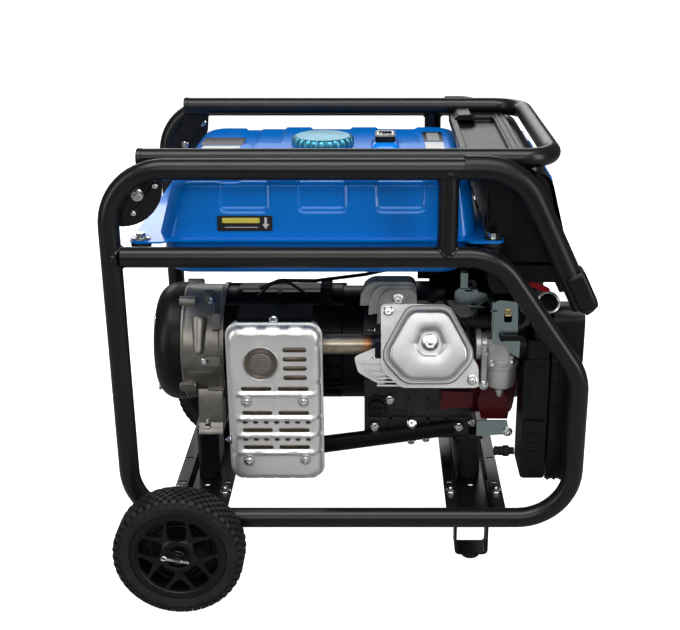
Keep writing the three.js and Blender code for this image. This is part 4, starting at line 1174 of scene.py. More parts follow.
# ---- alternator --------------------------------------------------------------------------
def alternator_cover():
    """The domed end cover with its air slots, louvres and screws."""
    low, high = corners("alternator_cover")
    left, right = low.x, high.x
    r = (high.y - low.y) / 2
    dome = [(0, left), (64, left)] + [
        (64 + (r - 64) * math.sin(a), left + 34 * (1 - math.cos(a)) ** 1.1)
        for a in [math.radians(7.5 * k) for k in range(1, 13)]
    ]
    profile = dome + [
        (r, right - 1), (r - 1, right), (r - 4, right), (r - 4, left + 40), (60, left + 6),
        (0, left + 6)]
    shell = turned(profile, "x", (0, 0, SHAFT_Z), 96)
    pitch = 12.5
    slots = []
    for i in range(-4, 5):
        reach = math.sqrt(max(58 ** 2 - (i * pitch) ** 2, 100))
        z = SHAFT_Z + i * pitch
        slots.append(block(left - 4, left + 9, -reach, reach, z - 2.6, z + 2.6))
    louvres = []
    for i in range(-4, 4):
        z = SHAFT_Z + (i + 0.5) * pitch
        reach = math.sqrt(max(58 ** 2 - ((i + 0.5) * pitch) ** 2, 100))
        rib = [(left + 1, z - 4), (left - 2.2, z - 3), (left - 1, z + 2), (left + 1, z + 3.4)]
        louvres.append(prism(rib, "y", -reach, reach, 0.5, 1))
    cover = joined(carved(shell, *slots), *louvres)
    show("end_cover", cover, "black_plastic", ["alternator_cover"])
    screws = []
    for k in range(4):
        a = math.radians(45 + 90 * k)
        screws.append(cross_screw((left + 6, 84 * math.cos(a), SHAFT_Z + 84 * math.sin(a)), (-1, 0, 0), 5))
    show("end_cover_screws", screws, "bright_fastener")


def on_drum(r, degrees, x):
    """A matrix that stands a part, made along +Z, on the drum's side; degrees from -Y upward."""
    a = math.radians(degrees)
    out = Vector((0, -math.cos(a), math.sin(a)))
    turn = Vector((0, 0, 1)).rotation_difference(out).to_matrix().to_4x4()
    return Matrix.Translation((x, out.y * r, SHAFT_Z + out.z * r)) @ turn


def round_shaft(degrees, r):
    """A point (Y, Z) at a distance from the shaft; degrees from -Y upward."""
    a = math.radians(degrees)
    return -math.cos(a) * r, SHAFT_Z + math.sin(a) * r


def alternator_bracket():
    """The cast end bracket: a ring on spokes, two feet, and the lugs and bolts round it."""
    low, high = corners("alternator_bracket")
    x0, x1, r = low.x, high.x, 97
    profile = [
        (r - 13, x0), (r, x0), (r + 0.6, x0 + 3), (r - 1.5, x0 + 7), (r - 2.5, x1 - 9), (r + 1, x1 - 6),
        (r + 1, x1), (r - 13, x1), (r - 13, x0),
    ]
    boss = [(16, x0 + 4), (31, x0 + 4), (27, x1 - 12), (16, x1 - 12), (16, x0 + 4)]
    on_shaft = (0, 0, SHAFT_Z)
    parts = [turned(profile, "x", on_shaft, 96), turned(boss, "x", on_shaft, 48)]
    for k in range(6):
        arm = block(x0 + 6, x0 + 18, -6, 6, 26, r - 8, 1.5)
        turn = Matrix.Translation(on_shaft) @ Matrix.Rotation(math.radians(60 * k), 4, "X")
        parts.append(placed(arm, turn))
    for side in (-1, 1):
        foot = [
            (side * 104, 196), (side * 108, 198), (side * 106, 206), (side * 97, 214), (side * 92, 250),
            (side * 84, 268), (side * 62, 262), (side * 58, 218), (side * 52, 206), (side * 50, 196),
        ]
        leg = prism(foot, "x", x0 + 24, x1 - 6, 2.5, 3)
        parts.append(carved(leg, rod("x", r - 6, x0, x1 + 10, (0, SHAFT_Z), 64)))
    parts.append(block(x0 + 24, x1 - 4, -60, 60, 196, 206, 2))
    pod_profile = [
        (0, -34), (5, -33), (8, -28), (12, 14), (12.5, 24), (10, 27), (5, 27.5), (4, 25), (0, 25)]
    pod = turned(pod_profile, "z", (0, 0, 0), 40)
    for vertex in pod.verts:
        vertex.co.y *= 0.8
    lie = Matrix.Rotation(math.radians(-90), 4, "X")
    parts.append(placed(pod, on_drum(r, 28, x0 + 30) @ lie))
    # Degrees round the ring, X, width, height and how far each lug stands out.
    lugs = [
        (52, x0 + 48, 13, 20, 6), (38, x0 + 58, 12, 26, 8), (72, x0 + 40, 16, 12, 5),
        (3, x0 + 54, 22, 16, 10), (-12, x0 + 30, 40, 5, 3), (12, x0 + 46, 34, 4, 3),
        (-26, x0 + 8, 20, 16, 9), (-40, x0 + 52, 26, 30, 5),
    ]
    for degrees, x, wide, tall, proud in lugs:
        lug = block(-wide / 2, wide / 2, -tall / 2, tall / 2, -4, proud, min(1.6, proud * 0.3))
        parts.append(placed(lug, on_drum(r - 1, degrees, x)))
    for degrees in (-28, 62, 118, 208):
        parts.append(rod("x", 9, x0 - 5, x0 + 22, round_shaft(degrees, r - 1), 24, 1))
    show("end_bracket", parts, "cast_grey", ["alternator_bracket"], sharp=38)
    bolts = [hex_bolt((x0 + 38, side * 98, 208), (0, 0, 1), 6, 9, 7) for side in (-1, 1)]
    bolts.append(placed(hex_bolt((0, 0, 4), (0, 0, 1), 5, 7, 3), on_drum(r, 60, x0 + 47)))
    bolts.append(placed(hex_bolt((0, 0, 9), (0, 0, 1), 4.5, 6, 2), on_drum(r, 3, x0 + 40)))
    show("end_bracket_bolts", bolts, "bright_fastener")


def stator():
    """The alternator's case with its fins and tie rods."""
    low, high = corners("stator")
    x0, x1, r = low.x, high.x, (high.y - low.y) / 2
    wall = [
        (r - 16, x0), (r - 3, x0), (r - 3, x0 + 16), (r, x0 + 18), (r, x1 - 36), (r - 3, x1 - 34),
        (r - 3, x1), (r - 16, x1), (r - 16, x0),
    ]
    parts = [turned(wall, "x", (0, 0, SHAFT_Z), 96)]
    for degrees in (-40, -22, -6, 12, 30, 150, 168, 186, 204, 222):
        fin = block(x0 + 20, x1 - 38, -2.2, 2.2, -3, 5, 0.8)
        parts.append(placed(fin, on_drum(r, degrees, 0)))
    deck = block(x0 + 26, x1 - 60, -24, 24, SHAFT_Z + r - 12, SHAFT_Z + r - 1, 1)
    parts.append(deck)
    show("stator_case", parts, "gloss_black", ["stator"])
    rods = [rod("x", 3, x0, x1 - 30, round_shaft(d, r + 1), 16) for d in (-31, 58, 122, 211)]
    show("stator_tie_rods", rods, "gloss_black")


def alternator_lead():
    points = [
        (-150, -30, 422), (-118, -30, 436), (-60, -26, 434), (20, 0, 436), (192, 44, 460), (192, 44, 540),
        (213.4, 44, 540),
    ]
    show("lead_sleeve", tube(points, 3, 10, 16, 6), "rubber", ["alternator_lead"])
    loop = tube([(-150, -60, 420), (-128, -62, 442), (-100, -62, 444), (-72, -60, 422)], 2.4, 18, 14, 8)
    show("lead_loop", loop, "black_plastic")


# ---- engine ------------------------------------------------------------------------------
def crankcase_details():
    ribs = []
    for x in (62, 92, 122, 152):
        ribs.append(block(x - 2, x + 2, -112, -104, 196, 262, 1))
    ribs.append(block(22, 188, -112, -106, 226, 231, 1))
    ribs.append(rod("y", 9, -114, -100, (36, 214), 24, 1))
    ribs.append(rod("y", 8, -114, -100, (172, 214), 24, 1))
    ribs.append(block(168, 188, -113, -104, 250, 276, 2))
    show("crankcase_ribs", ribs, "cast_dark")
    bolts = [hex_bolt((x, -114, z), (0, -1, 0), 5, 7, 0) for x, z in ((36, 214), (172, 214), (60, 262))]
    show("crankcase_bolts", bolts, "bright_fastener")


def dipstick():
    profile = [(0, 0), (14, 0), (15, 1.5), (15, 8), (13.5, 10), (9, 11), (8, 10), (0, 10)]
    head = lobed(profile, "z", (0, 0, 0), 14, 1.6, 168)
    low, high = corners("oil_dipstick")
    middle = (low + high) / 2
    grip = block(-10, 10, -2.2, 2.2, 9, 13.5, 1)
    whole = facing(joined(head, grip), (middle.x, low.y + 11.6, middle.z), (0, -1, 0))
    show("dipstick_knob", whole, "black_plastic", ["oil_dipstick"], body="dipstick")


def rounded_outline(points, r, steps=5):
    """A polygon with each corner turned into a short curve."""
    result = []
    count = len(points)
    for i, point in enumerate(points):
        here = Vector(point)
        before = Vector(points[i - 1]) - here
        after = Vector(points[(i + 1) % count]) - here
        reach = min(r, before.length * 0.48, after.length * 0.48)
        a = here + before.normalized() * reach
        b = here + after.normalized() * reach
        for s in range(steps + 1):
            t = s / steps
            result.append(a * (1 - t) ** 2 + here * 2 * t * (1 - t) + b * t * t)
    return result


# Drawn as (X, Z) about the cylinder's axis, before the lean.
COVER_OUTLINE = [
    (-31, 57.5), (31, 57.5), (65.5, -8), (65.5, -26), (37, -59), (-36, -59), (-67, -26), (-67, -8)]
HEAD_OUTLINE = [
    (-71, 60), (-8, 60), (16, 57), (58, -6), (76, -34), (76, -66), (-40, -66), (-70, -40), (-71, 10)]


def about_cylinder(outline, size=1.0):
    """An outline drawn about the cylinder's axis, scaled and moved to its place."""
    return [(u * size + CYLINDER_X, v * size) for u, v in outline]


def cylinder_head():
    x = CYLINDER_X
    base = prism(rounded_outline(about_cylinder(HEAD_OUTLINE), 7), "y", -197, -150)
    parts = [eased(base, 2.2, 3)]
    for k in range(4):
        z0 = -64 + k * 5.5
        parts.append(block(x - 77, x + 77, -193 + 2 * k, -152, z0, z0 + 2.4, 0.7, 1))
    lug = rounded_outline([(x - 112, -20), (x - 106, -44), (x - 66, -66), (x - 60, -20), (x - 74, -4)], 6)
    parts.append(prism(lug, "y", -176, -156, 2))
    for k in range(3):
        z0, z1 = -30 - 10 * k, -24 - 10 * k
        rib = [(x - 104 + 8 * k, z1), (x - 100 + 8 * k, z0), (x - 62, z0), (x - 62, z1)]
        parts.append(prism(rounded_outline(rib, 2), "y", -182, -170, 0.8, 1))
    plate = rounded_outline(about_cylinder(COVER_OUTLINE, 1.03), 13)
    parts.append(prism(plate, "y", -202, -190, 1))
    for u, v in ((-60, 50), (66, -54)):
        parts.append(rod("y", 8, -200, -160, (x + u, v), 24, 1))
    casting = placed(joined(*parts), LEANED)
    show("head_casting", casting, "cast_bright", ["cylinder_head"], sharp=38)
    bolts = [hex_bolt((x + u, -200, v), (0, -1, 0), 5.5, 7.5, 0) for u, v in ((-60, 50), (66, -54))]
    show("head_bolts", placed(joined(*bolts), LEANED), "bright_fastener")
    gasket = rounded_outline(about_cylinder(COVER_OUTLINE, 1.015), 13)
    seal = prism(gasket, "y", -204.2, -201.6)
    show("cover_gasket", placed(eased(seal, 0.6, 2), LEANED), "rubber")


def valve_cover():
    """A pressed six-sided cover: a rolled lip, a groove, a raised middle and a dished bolt seat."""
    outline = rounded_outline(COVER_OUTLINE, 13, 8)
    x = CYLINDER_X
    # The outline's size at each Y, from the gasket outward.
    steps = [
        (1.0, -204.2), (1.005, -206.5), (1.0, -209.0), (0.985, -210.4), (0.955, -210.6),
        (0.94, -209.6), (0.925, -209.4), (0.91, -211.0), (0.895, -215.0), (0.875, -218.6),
        (0.845, -220.6), (0.80, -221.4),
    ]
    rings = [[Vector((x + p.x * s, y, p.y * s)) for p in outline] for s, y in steps]
    # How round the ring is, its radius and its Y, from the raised middle into the bolt's seat.
    dish = [
        (0.75, 31, -221.8), (1.0, 25, -221.6), (1.0, 22.5, -220.2), (1.0, 19.5, -217.6),
        (1.0, 16.5, -216.6)]
    for mix, r, y in dish:
        ring = []
        for p in outline:
            angle = math.atan2(p.y - 3, p.x - 2)
            circle = Vector((2 + r * math.cos(angle), 3 + r * math.sin(angle)))
            spot = (p * 0.78).lerp(circle, mix)
            ring.append(Vector((x + spot.x, y, spot.y)))
        rings.append(ring)
    cover = placed(skinned(rings), LEANED)
    show("rocker_cover", cover, "cover_silver", ["valve_cover"], sharp=60)
    bolt = hex_bolt((x + 2, -216.8, 3), (0, -1, 0), 8.6, 13, 0)
    show("rocker_cover_bolt", placed(bolt, LEANED), "bright_fastener")


def cooling_cowl():
    """The sheet cowl over the cylinder: three steps of an arched plate, and its bolt."""
    steps = []
    for k in range(3):
        left, top, y = 14 + 13 * k, 470 - 3 * k, -128 - 9 * k
        arch = [(left, 432 - 12 * k), (left + 2, 452 - 8 * k)] + arc(left + 27, top - 24, 24, 165, 95, 6)
        arch += arc(88, top - 12, 12, 90, 0, 4) + [(100, 432)]
        steps.append(prism(arch, "y", y - 10, y + 20, 3, 3))
    # The cowl's cast finish carries painted shade: a darker copy of cast_bright.
    show("cowl_sheets", steps, "cowl_cast_shaded", ["cooling_cowl"])
    bolt = hex_bolt((72, -156, 449), (0, -1, 0.3), 7, 10, 2)
    show("cowl_bolt", bolt, "bright_fastener")


# ---- exhaust -----------------------------------------------------------------------------
def muffler_can():
    m = MUFFLER
    can = prism(round_rect(m["x0"], m["x1"], m["z0"], m["z1"], 26, 8), "y", m["y0"], m["y1"], 5, 3)
    box = block(m["x0"] + 10, m["x1"] - 8, m["y0"] + 14, m["y1"] - 14, m["z1"] - 6, m["z1"] + 10, 3, 3)
    seam = prism(round_rect(m["x0"] - 2, m["x1"] + 2, m["z0"] - 2, m["z1"] + 2, 27, 8), "y", -150, -147)
    show("muffler_can", [can, box, eased(seam, 0.8, 1)], "gloss_black", ["muffler"])
    inner = prism(round_rect(-172, -58, 196, 400, 18, 6), "y", -199, -193, 1.5)
    show("muffler_inner_plate", inner, "heat_steel")


SHIELD_FRONT = MUFFLER["y0"] - 14
SLOT_ROWS = [323, 283, 254, 225]
SHORT_ROWS = [386, 371, 356, 341]
HOLE_ROWS = [267, 238]
DENT_ROWS = [392, 330, 272, 243, 214]
OUTLET = (-134, 364)


def shield_depth(x, z):
    """How far the pressed face stands forward at a point: four ridges across, easing at the sides."""
    m = MUFFLER
    edge = smooth((x - m["x0"] - 2) / 12) * smooth((m["x1"] + 2 - x) / 12)
    proud = 0.0
    for row in SLOT_ROWS:
        proud += 3.4 * math.exp(-((z - row + 9) / 3.6) ** 2)
    return proud * edge


def shield_skin():
    """(plan, Y, inset) of the pan's outer skin, from its open back edge to the middle of its face."""
    m = MUFFLER
    x0, x1, z0, z1 = m["x0"] - 5, m["x1"] + 5, m["z0"] - 12, m["z1"] + 2
    bend = 13
    reach = 69.8
    profile = [(0, m["y0"] + 22), (0, m["y0"] + 4), (0, SHIELD_FRONT + bend)]
    for k in range(1, 9):
        a = math.radians(11.25 * k)
        profile.append((bend * (1 - math.cos(a)), SHIELD_FRONT + bend * (1 - math.sin(a))))
    profile += [(bend + 2.5 * k, SHIELD_FRONT) for k in range(1, 23)] + [(69.74, SHIELD_FRONT)]
    skin = []
    for inset, y in profile:
        corner = min(max(18 - inset * 0.5, 3), (reach - inset) * 0.9)
        plan = dense_rect(x0 + inset, x1 - inset, z0 + inset, z1 - inset, corner, 44, 84, 6)
        skin.append((plan, y, inset))
    return skin


def shield_ring(plan, y, inset, back):
    """One ring of the pan's skin, with its ridges in front and the dents down its sides."""
    x0, x1 = MUFFLER["x0"] - 5, MUFFLER["x1"] + 5
    points = []
    for p in plan:
        proud = shield_depth(p.x, p.y) * smooth(inset / 10)
        dent = 0.0
        for row in DENT_ROWS:
            dent += 2.0 * math.exp(-((p.y - row) / 3.2) ** 2)
        dent *= 1 - smooth(inset / 14)
        on_side = min(p.x - x0, x1 - p.x) < inset + 3
        side = math.copysign(dent, p.x - (x0 + x1) / 2) if on_side else 0
        points.append(Vector((p.x - side, y - proud + back, p.y)))
    return points


def muffler_shield():
    """The pressed pan with its slots, holes and round outlet cut through."""
    m = MUFFLER
    thick = 1.8
    skin = shield_skin()
    middle = Vector(((m["x0"] + m["x1"]) / 2, (m["z0"] - 12 + m["z1"] + 2) / 2))
    outside = [shield_ring(plan, y, inset, 0) for plan, y, inset in skin]
    inside = []
    for plan, y, inset in reversed(skin[2:]):
        drawn = [p + (middle - p).normalized() * (thick if inset < 13 else 0.4) for p in plan]
        inside.append(shield_ring(drawn, y, inset, thick))
    lip = [[Vector((p.x, m["y0"] + 22, p.z)) for p in inside[-1]]]
    # Front and back skins run from one middle to the other, by way of the open edge.
    shell = skinned(outside[::-1] + lip + inside[::-1])
    bmesh.ops.triangulate(shell, faces=[f for f in shell.faces if len(f.verts) > 4])
    # Each opening's left and right end, height and half width.
    openings = [(-101, -65, z, 4.2) for z in SHORT_ROWS]
    openings += [(u0, u1, z, 3.7) for z in SLOT_ROWS for u0, u1 in ((-165, -119), (-110, -63))]
    openings += [(u, u + 8, z, 2.8) for z in HOLE_ROWS for u in range(-165, -54, 16)]
    start, end = SHIELD_FRONT - 12, SHIELD_FRONT + 11
    cuts = [
        prism(round_rect(u0, u1, z - h, z + h, h - 0.05, 5), "y", start, end)
        for u0, u1, z, h in openings
    ]
    cuts.append(rod("y", 25.5, start, end, OUTLET, 48))
    for k in range(5):
        cuts.append(rod("y", 9, start, m["y0"] + 30, (m["x0"] + 14 + k * 25, m["z0"] - 17), 24))
    show("heat_shield", carved(shell, *cuts), "shield_silver", ["muffler_shield"], sharp=40)


def shield_edge():
    """The rolled edge and the three folded tabs at the top."""
    m = MUFFLER
    edge = dense_rect(m["x0"] - 5.5, m["x1"] + 5.5, m["z0"] - 12.5, m["z1"] + 2.5, 18, 20, 40, 8)
    path = [Vector((p.x, m["y0"] + 6, p.y)) for p in edge]
    count = len(path)
    rings = [
        (path[i], (path[(i + 1) % count] - path[i - 1]).normalized()) for i in range(count)]
    parts = [swept(ring_points(2.6, 12), rings, side=(0, 1, 0), closed=True)]
    crest = (SHIELD_FRONT + 13, m["z1"] + 2 - 13)
    for x in (-148, -114.5, -80.5):
        tab = arc(*crest, 17.4, 176, 112, 8) + arc(*crest, 12, 112, 176, 8)
        parts.append(prism(tab, "x", x - 10, x + 10, 0.7))
        crown = arc(*crest, 19.4, 166, 122, 6) + arc(*crest, 15, 122, 166, 6)
        parts.append(prism(crown, "x", x - 6, x + 6, 0.7))
    show("shield_edge", parts, "shield_silver")


def arrester():
    """The round outlet: its rim, the domed gauze and the cup behind it."""
    centre = (OUTLET[0], 0, OUTLET[1])
    front = SHIELD_FRONT
    ring = turned([
        (24.4, front + 8), (24.8, front + 1), (25.2, front - 1.2), (26.6, front - 1.8),
        (27.8, front + 0.4), (26.4, front + 2), (25.8, front + 10), (24.4, front + 10),
        (24.4, front + 8),
    ], "y", centre, 64)
    show("arrester_rim", ring, "cover_silver")
    gauze = turned([
        (0, front - 0.8), (15, front), (16.4, front + 1), (17, front + 4), (21, front + 5.4),
        (24.3, front + 8), (24.3, front + 10), (0, front + 10),
    ], "y", centre, 48)
    show("arrester_gauze", gauze, "gauze")
    cup = [(0, front + 9.5), (25.4, front + 9.5), (25.4, front + 12), (0, front + 12)]
    show("arrester_cup", turned(cup, "y", centre, 48), "heat_steel")


def shield_fasteners():
    m = MUFFLER
    screws = [
        cross_screw((x, SHIELD_FRONT - 0.4 - shield_depth(x, z), z), (0, -1, 0), 6, 9)
        for x, z in ((-157.6, 301.4), (-71.3, 301.4), (-157, 201.5), (-70.5, 203))
    ]
    show("shield_screws", screws, "bright_fastener")
    stud = hex_bolt((-115, m["y0"] + 13.5, m["z1"] + 5), (0, -1, 0), 5, 7, 4)
    side_bolt = hex_bolt((m["x0"] - 5, m["y0"] - 2, 232), (-1, 0, 0), 5, 7, 4)
    show("muffler_studs", [stud, side_bolt], "bright_fastener")


def exhaust_pipe():
    low, high = corners("exhaust_pipe")
    y, z = -150, 373
    run = tube([(low.x, y, z), (28, y, z), (40, y, z)], 15.4, 5, 40, 4)
    sleeve = [(0, low.x), (21, low.x), (21, low.x + 3), (17, low.x + 5), (0, low.x + 5)]
    collar = turned(sleeve, "x", (0, y, z), 40)
    bead_points = []
    for k in range(72):
        a = math.radians(5 * k)
        bead_points.append(Vector((low.x + 6, y + 15.6 * math.cos(a), z + 15.6 * math.sin(a))))
    bead = lumpy_ring(bead_points, 2, 16)
    flange = prism(round_rect(-174, -127, 352, 394, 11, 6), "x", high.x - 9, high.x, 1.2)
    show("header_pipe", [run, collar, bead, flange], "heat_steel", ["exhaust_pipe"])
    studs = [
        hex_bolt((high.x - 9, *place), (-1, 0, 0), 6, 8, 8) for place in ((-168, 357), (-133, 389))]
    show("header_nuts", studs, "bright_fastener")


def muffler_stay():
    start = MUFFLER["x1"] + 0.3
    web = prism([(start, 196), (start, 172), (168, 205), (168, 226)], "y", -113, -109, 1)
    flanges = [
        prism([(start, 196), (start, 192), (168, 222), (168, 226)], "y", -124, -109, 0.8),
        prism([(start, 176), (start, 172), (168, 205), (168, 209)], "y", -124, -109, 0.8),
    ]
    show("stay_channel", [web, *flanges], "frame_black", ["muffler_stay"])
    bolts = [
        hex_bolt((96, -116, 222), (0, -1, 0.5), 5.5, 7.5, 2),
        hex_bolt((95, -118, 193), (0, -0.3, -1), 5.5, 8, 2),
        hex_bolt((119, -118, 197), (0, -0.3, -1), 5.5, 8, 2),
    ]
    show("stay_bolts", bolts, "bright_fastener")


# ---- fuel and air ------------------------------------------------------------------------
def carburettor():
    x, y = 230, -160
    bowl = turned(
        [(0, 306), (12, 306), (16, 308), (22, 312), (24, 320), (24.5, 343), (27, 345), (27.5, 350),
         (24, 352), (24, 356), (0, 356)], "z", (x, y, 0), 64)
    drain = turned([(0, 290), (3, 290), (5, 292), (5, 297), (7, 298), (7, 306), (0, 306)], "z", (x, y, 0), 24)
    body = prism(round_rect(206, 244, -182, -138, 7, 4), "z", 352, 393, 2.5, 3)
    neck = turned([(0, 190.3), (24, 190.3), (24, 197), (18, 200), (17, 246), (0, 246)], "x", (0, y, 378), 48)
    side = prism(round_rect(199, 207, 310, 384, 2, 3), "y", -180, -150, 1.2)
    boss = rod("y", 6, -188, -176, (214, 356), 24, 1)
    ear = rod("z", 5, 352, 366, (244, -176), 20, 1)
    casting = joined(bowl, drain, body, neck, side, boss, ear)
    show("carb_casting", casting, "cast_bright", ["carburettor"], sharp=38)
    bolts = [
        hex_bolt((203, -181, 318), (0, -1, 0), 5, 7, 2), cross_screw((214, -188.4, 356), (0, -1, 0), 4),
        hex_bolt((203, -181, 372), (0, -1, 0), 4.5, 6, 1), cross_screw((244, -181, 358), (0, -1, 0), 3.5),
        hex_bolt((x, y, 306.5), (0, 0, -1), 5.5, 7, 2),
    ]
    show("carb_screws", bolts, "bright_fastener")


def slotted_sheet(outline, r, start, end, slot):
    """A flat sheet facing -Y: a rounded outline with one slot cut through."""
    sheet = prism(rounded_outline(outline, r), "y", start, end)
    return eased(carved(sheet, prism(slot, "y", start - 4, end + 4)), 0.5, 2)


def governor():
    """The zinc-plated control sheet: two upright plates joined by a bridge, with its clip."""
    near = [
        (212, 389), (213, 455), (222, 459), (249, 456), (251, 398), (255, 394), (254, 366),
        (236, 378), (234, 387)]
    wing = [
        (160, 412), (160, 446), (168, 452), (181, 452), (190, 447), (215, 442), (218, 434),
        (200, 424), (190, 404), (180, 408)]
    plate = slotted_sheet(near, 2.5, -190, -187.6, round_rect(229, 241, 424, 438, 3))
    edge = block(211, 213.4, -190, -176, 410, 456, 0.6)
    back = slotted_sheet(wing, 3, -114, -111.4, round_rect(178, 192, 422, 426, 1.9))
    tab = block(169, 180, -114, -100, 450, 476, 0.8)
    bridge = block(209, 219, -190, -111, 441, 443.4, 0.6)
    leg = block(176, 196, -114, -66, 446, 449, 0.8)
    post = block(178, 189, -98, -80, 428, 449, 0.8)
    sheets = joined(plate, edge, back, tab, bridge, leg, post)
    show("governor_sheet", sheets, "zinc", ["governor_plate"])
    clip = block(-4.5, 4.5, -5.5, 5.5, 0, 1.6, 0.6)
    clip = carved(clip, block(-2, 2, -3.4, 3.4, -1, 3))
    roll = [rod("x", 1.6, -4.5, 4.5, (v, 2), 16, 0.4) for v in (4.2, -4.2)]
    clip = facing(joined(clip, *roll), (235, -190, 440), (0, -1, 0))
    show("governor_clip", clip, "brass_clip")
    link = tube([(180, -118, 424), (196, -122, 424), (219, -124, 421), (224, -150, 420)], 1.1, 5, 10, 4)
    show("throttle_link", link, "bright_fastener")


def coil_spring(a, b, r, wire, turns):
    """A wire wound round the line from a to b."""
    a, b = Vector(a), Vector(b)
    along = b - a
    u = along.orthogonal().normalized()
    v = along.normalized().cross(u)
    points = []
    steps = turns * 14
    for i in range(steps + 1):
        angle = 2 * math.pi * turns * i / steps
        points.append(a + along * (i / steps) + (u * math.cos(angle) + v * math.sin(angle)) * r)
    rings = []
    for i, point in enumerate(points):
        ahead = points[min(i + 1, steps)] - points[max(i - 1, 0)]
        rings.append((point, ahead.normalized()))
    return swept(ring_points(wire, 8), rings)


def hose_and_leads():
    """The throttle spring, breather hose and plug lead between the cylinder and air cleaner."""
    spring = coil_spring((192, -118, 414), (222, -140, 402), 3.4, 0.7, 12)
    show("throttle_spring", spring, "bright_fastener")
    hose = tube([(150, -140, 402), (176, -150, 408), (215, -160, 412), (252, -160, 399)], 8, 20, 24, 6)
    band = [(7.6, -1.1), (9.3, -0.6), (9.3, 0.6), (7.6, 1.1), (7.6, -1.1)]
    bands = []
    for k in range(15):
        x = 158 + k * 3.8
        z = 403.6 + 0.16 * (x - 150)
        bands.append(turned(band, "x", (x, -143 - 0.26 * (x - 150), z), 24))
    show("breather_hose", [hose, *bands], "rubber")
    wire = tube([(142, -120, 440), (150, -150, 430), (176, -168, 408), (186, -150, 388)], 2.6, 14, 12, 6)
    show("plug_lead", wire, "rubber")
    boot = turned([(0, 0), (8, 0), (9, 4), (9, 20), (6, 26), (3, 30), (0, 30)], "z", (0, 0, 0), 28)
    show("plug_boot", facing(boot, (122, -118, 436), (0.6, -0.3, 0.5)), "rubber")


def engine_sheets():
    """The lower bracket, the fan housing's edges and the brackets under the alternator."""
    bar = rounded_outline([(197, 219), (249, 222), (245, 246), (197, 246)], 3)
    show("lower_bracket", prism(bar, "y", -156, -153, 0.6), "zinc")
    bolts = [
        hex_bolt((246, -157, 227), (0, -1, 0), 6, 8, 3),
        hex_bolt((192, -140, 236), (-1, -0.4, 0), 6, 8, 3),
    ]
    show("lower_bracket_bolts", bolts, "bright_fastener")
    flap = [(141, 252), (143, 283), (192, 281), (192, 255)]
    skirt = [
        (199, 321), (205, 284), (199, 268), (206, 237), (248, 237), (251, 256), (245, 262),
        (248, 274), (232, 290), (216, 321)]
    sheets = joined(
        prism(flap, "y", -126, -123, 0.8), prism(skirt, "y", -131, -128, 0.8))
    show("shroud_flap", sheets, "dark_red")
    for side, name in ((-1, "near"), (1, "far")):
        y0, y1 = sorted((side * 58, side * 112))
        bracket = block(-247, -217, y0, y1, 131, 195.6, 2)
        show(f"mount_bracket_{name}", bracket, "frame_black")


def wiring():
    """The board and cables seen under the tank, and the clamp that holds the lead."""
    board = prism(
        [(108, 416), (190, 416), (190, 438), (262, 438), (262, 482), (108, 482)], "y", 38, 41)
    show("wiring_board", eased(board, 1, 2), "black_plastic")
    upper = [(112, 30, 476), (140, 24, 452), (176, 22, 462), (214, 26, 450), (256, 30, 470)]
    lower = [(126, 30, 430), (150, 18, 448), (182, 20, 444), (200, 28, 474)]
    looms = [tube(upper, 3.2, 14, 14, 8), tube(lower, 2.6, 12, 12, 8)]
    show("wiring_loom", looms, "rubber")
    clamp = joined(
        block(-50, -32, -64, -20, 404, 434, 2),
        block(-120, -112, -64, -40, 404, 424, 2))
    show("lead_clamp", clamp, "gloss_black")


def hood(r, start, end, x0, x1):
    """A curved sheet round the shaft, between two angles in degrees from +Y upward."""
    outline = arc(0, 0, r + 3, start, end, 24) + arc(0, 0, r, end, start, 24)
    return prism([(v, SHAFT_Z + w) for v, w in outline], "x", x0, x1, 0.9)


def painted_shade_hood():
    """A gloss black sheet over the crankcase and the fan housing, above the shaft: painted shade, a dark
    cover standing in for the shadow on the upper half of the housing.
    """
    parts = [hood(120.6, 8, 172, 191, 261), hood(101, 30, 168, 128, 189)]
    for x in (200, 222, 244):
        parts.append(hood(123, 20, 160, x, x + 4))
    parts.append(block(196, 250, -128, -108, 398, 424, 3))
    parts.append(rod("y", 9, -150, -110, (206, 408), 24, 2))
    show("painted_shade_hood", parts, "gloss_black")


def fuel_tap():
    """The tap under the tank, its red lever and the hose down to the carburettor."""
    x, y = 262, -150
    barrel = [
        (0, 437), (5, 437), (5, 452), (8, 453), (9, 458), (9, 470), (7, 472), (7, 484), (9, 486),
        (9, 496), (0, 496)]
    inlet = block(x - 14, x + 14, y - 10, y + 10, 496, 516.6, 2)
    show("tap_body", [turned(barrel, "z", (x, y, 0), 32), inlet], "zinc", ["fuel_tap"])
    lever = rounded_outline(
        [(256, 471), (256, 482), (274, 482), (298, 470), (300, 462), (292, 463), (272, 473)], 4)
    blade = prism(lever, "y", -170, -166, 1.2, 3)
    hub = rod("y", 8, -171, -159.4, (x, 476), 32, 1)
    show("tap_lever", [blade, hub], "red", ["fuel_tap_lever"], body="tap")
    pipe = tube([(x, y, 435.4), (x, y, 412), (238, -160, 406), (238, -160, 395.4)], 4.5, 7, 20, 6)
    show("fuel_line", pipe, "rubber", ["fuel_hose"])
    clip = turned(hoop(4.4, 5.8, 428, 432), "z", (x, y, 0), 24)
    show("fuel_line_clip", clip, "bright_fastener")


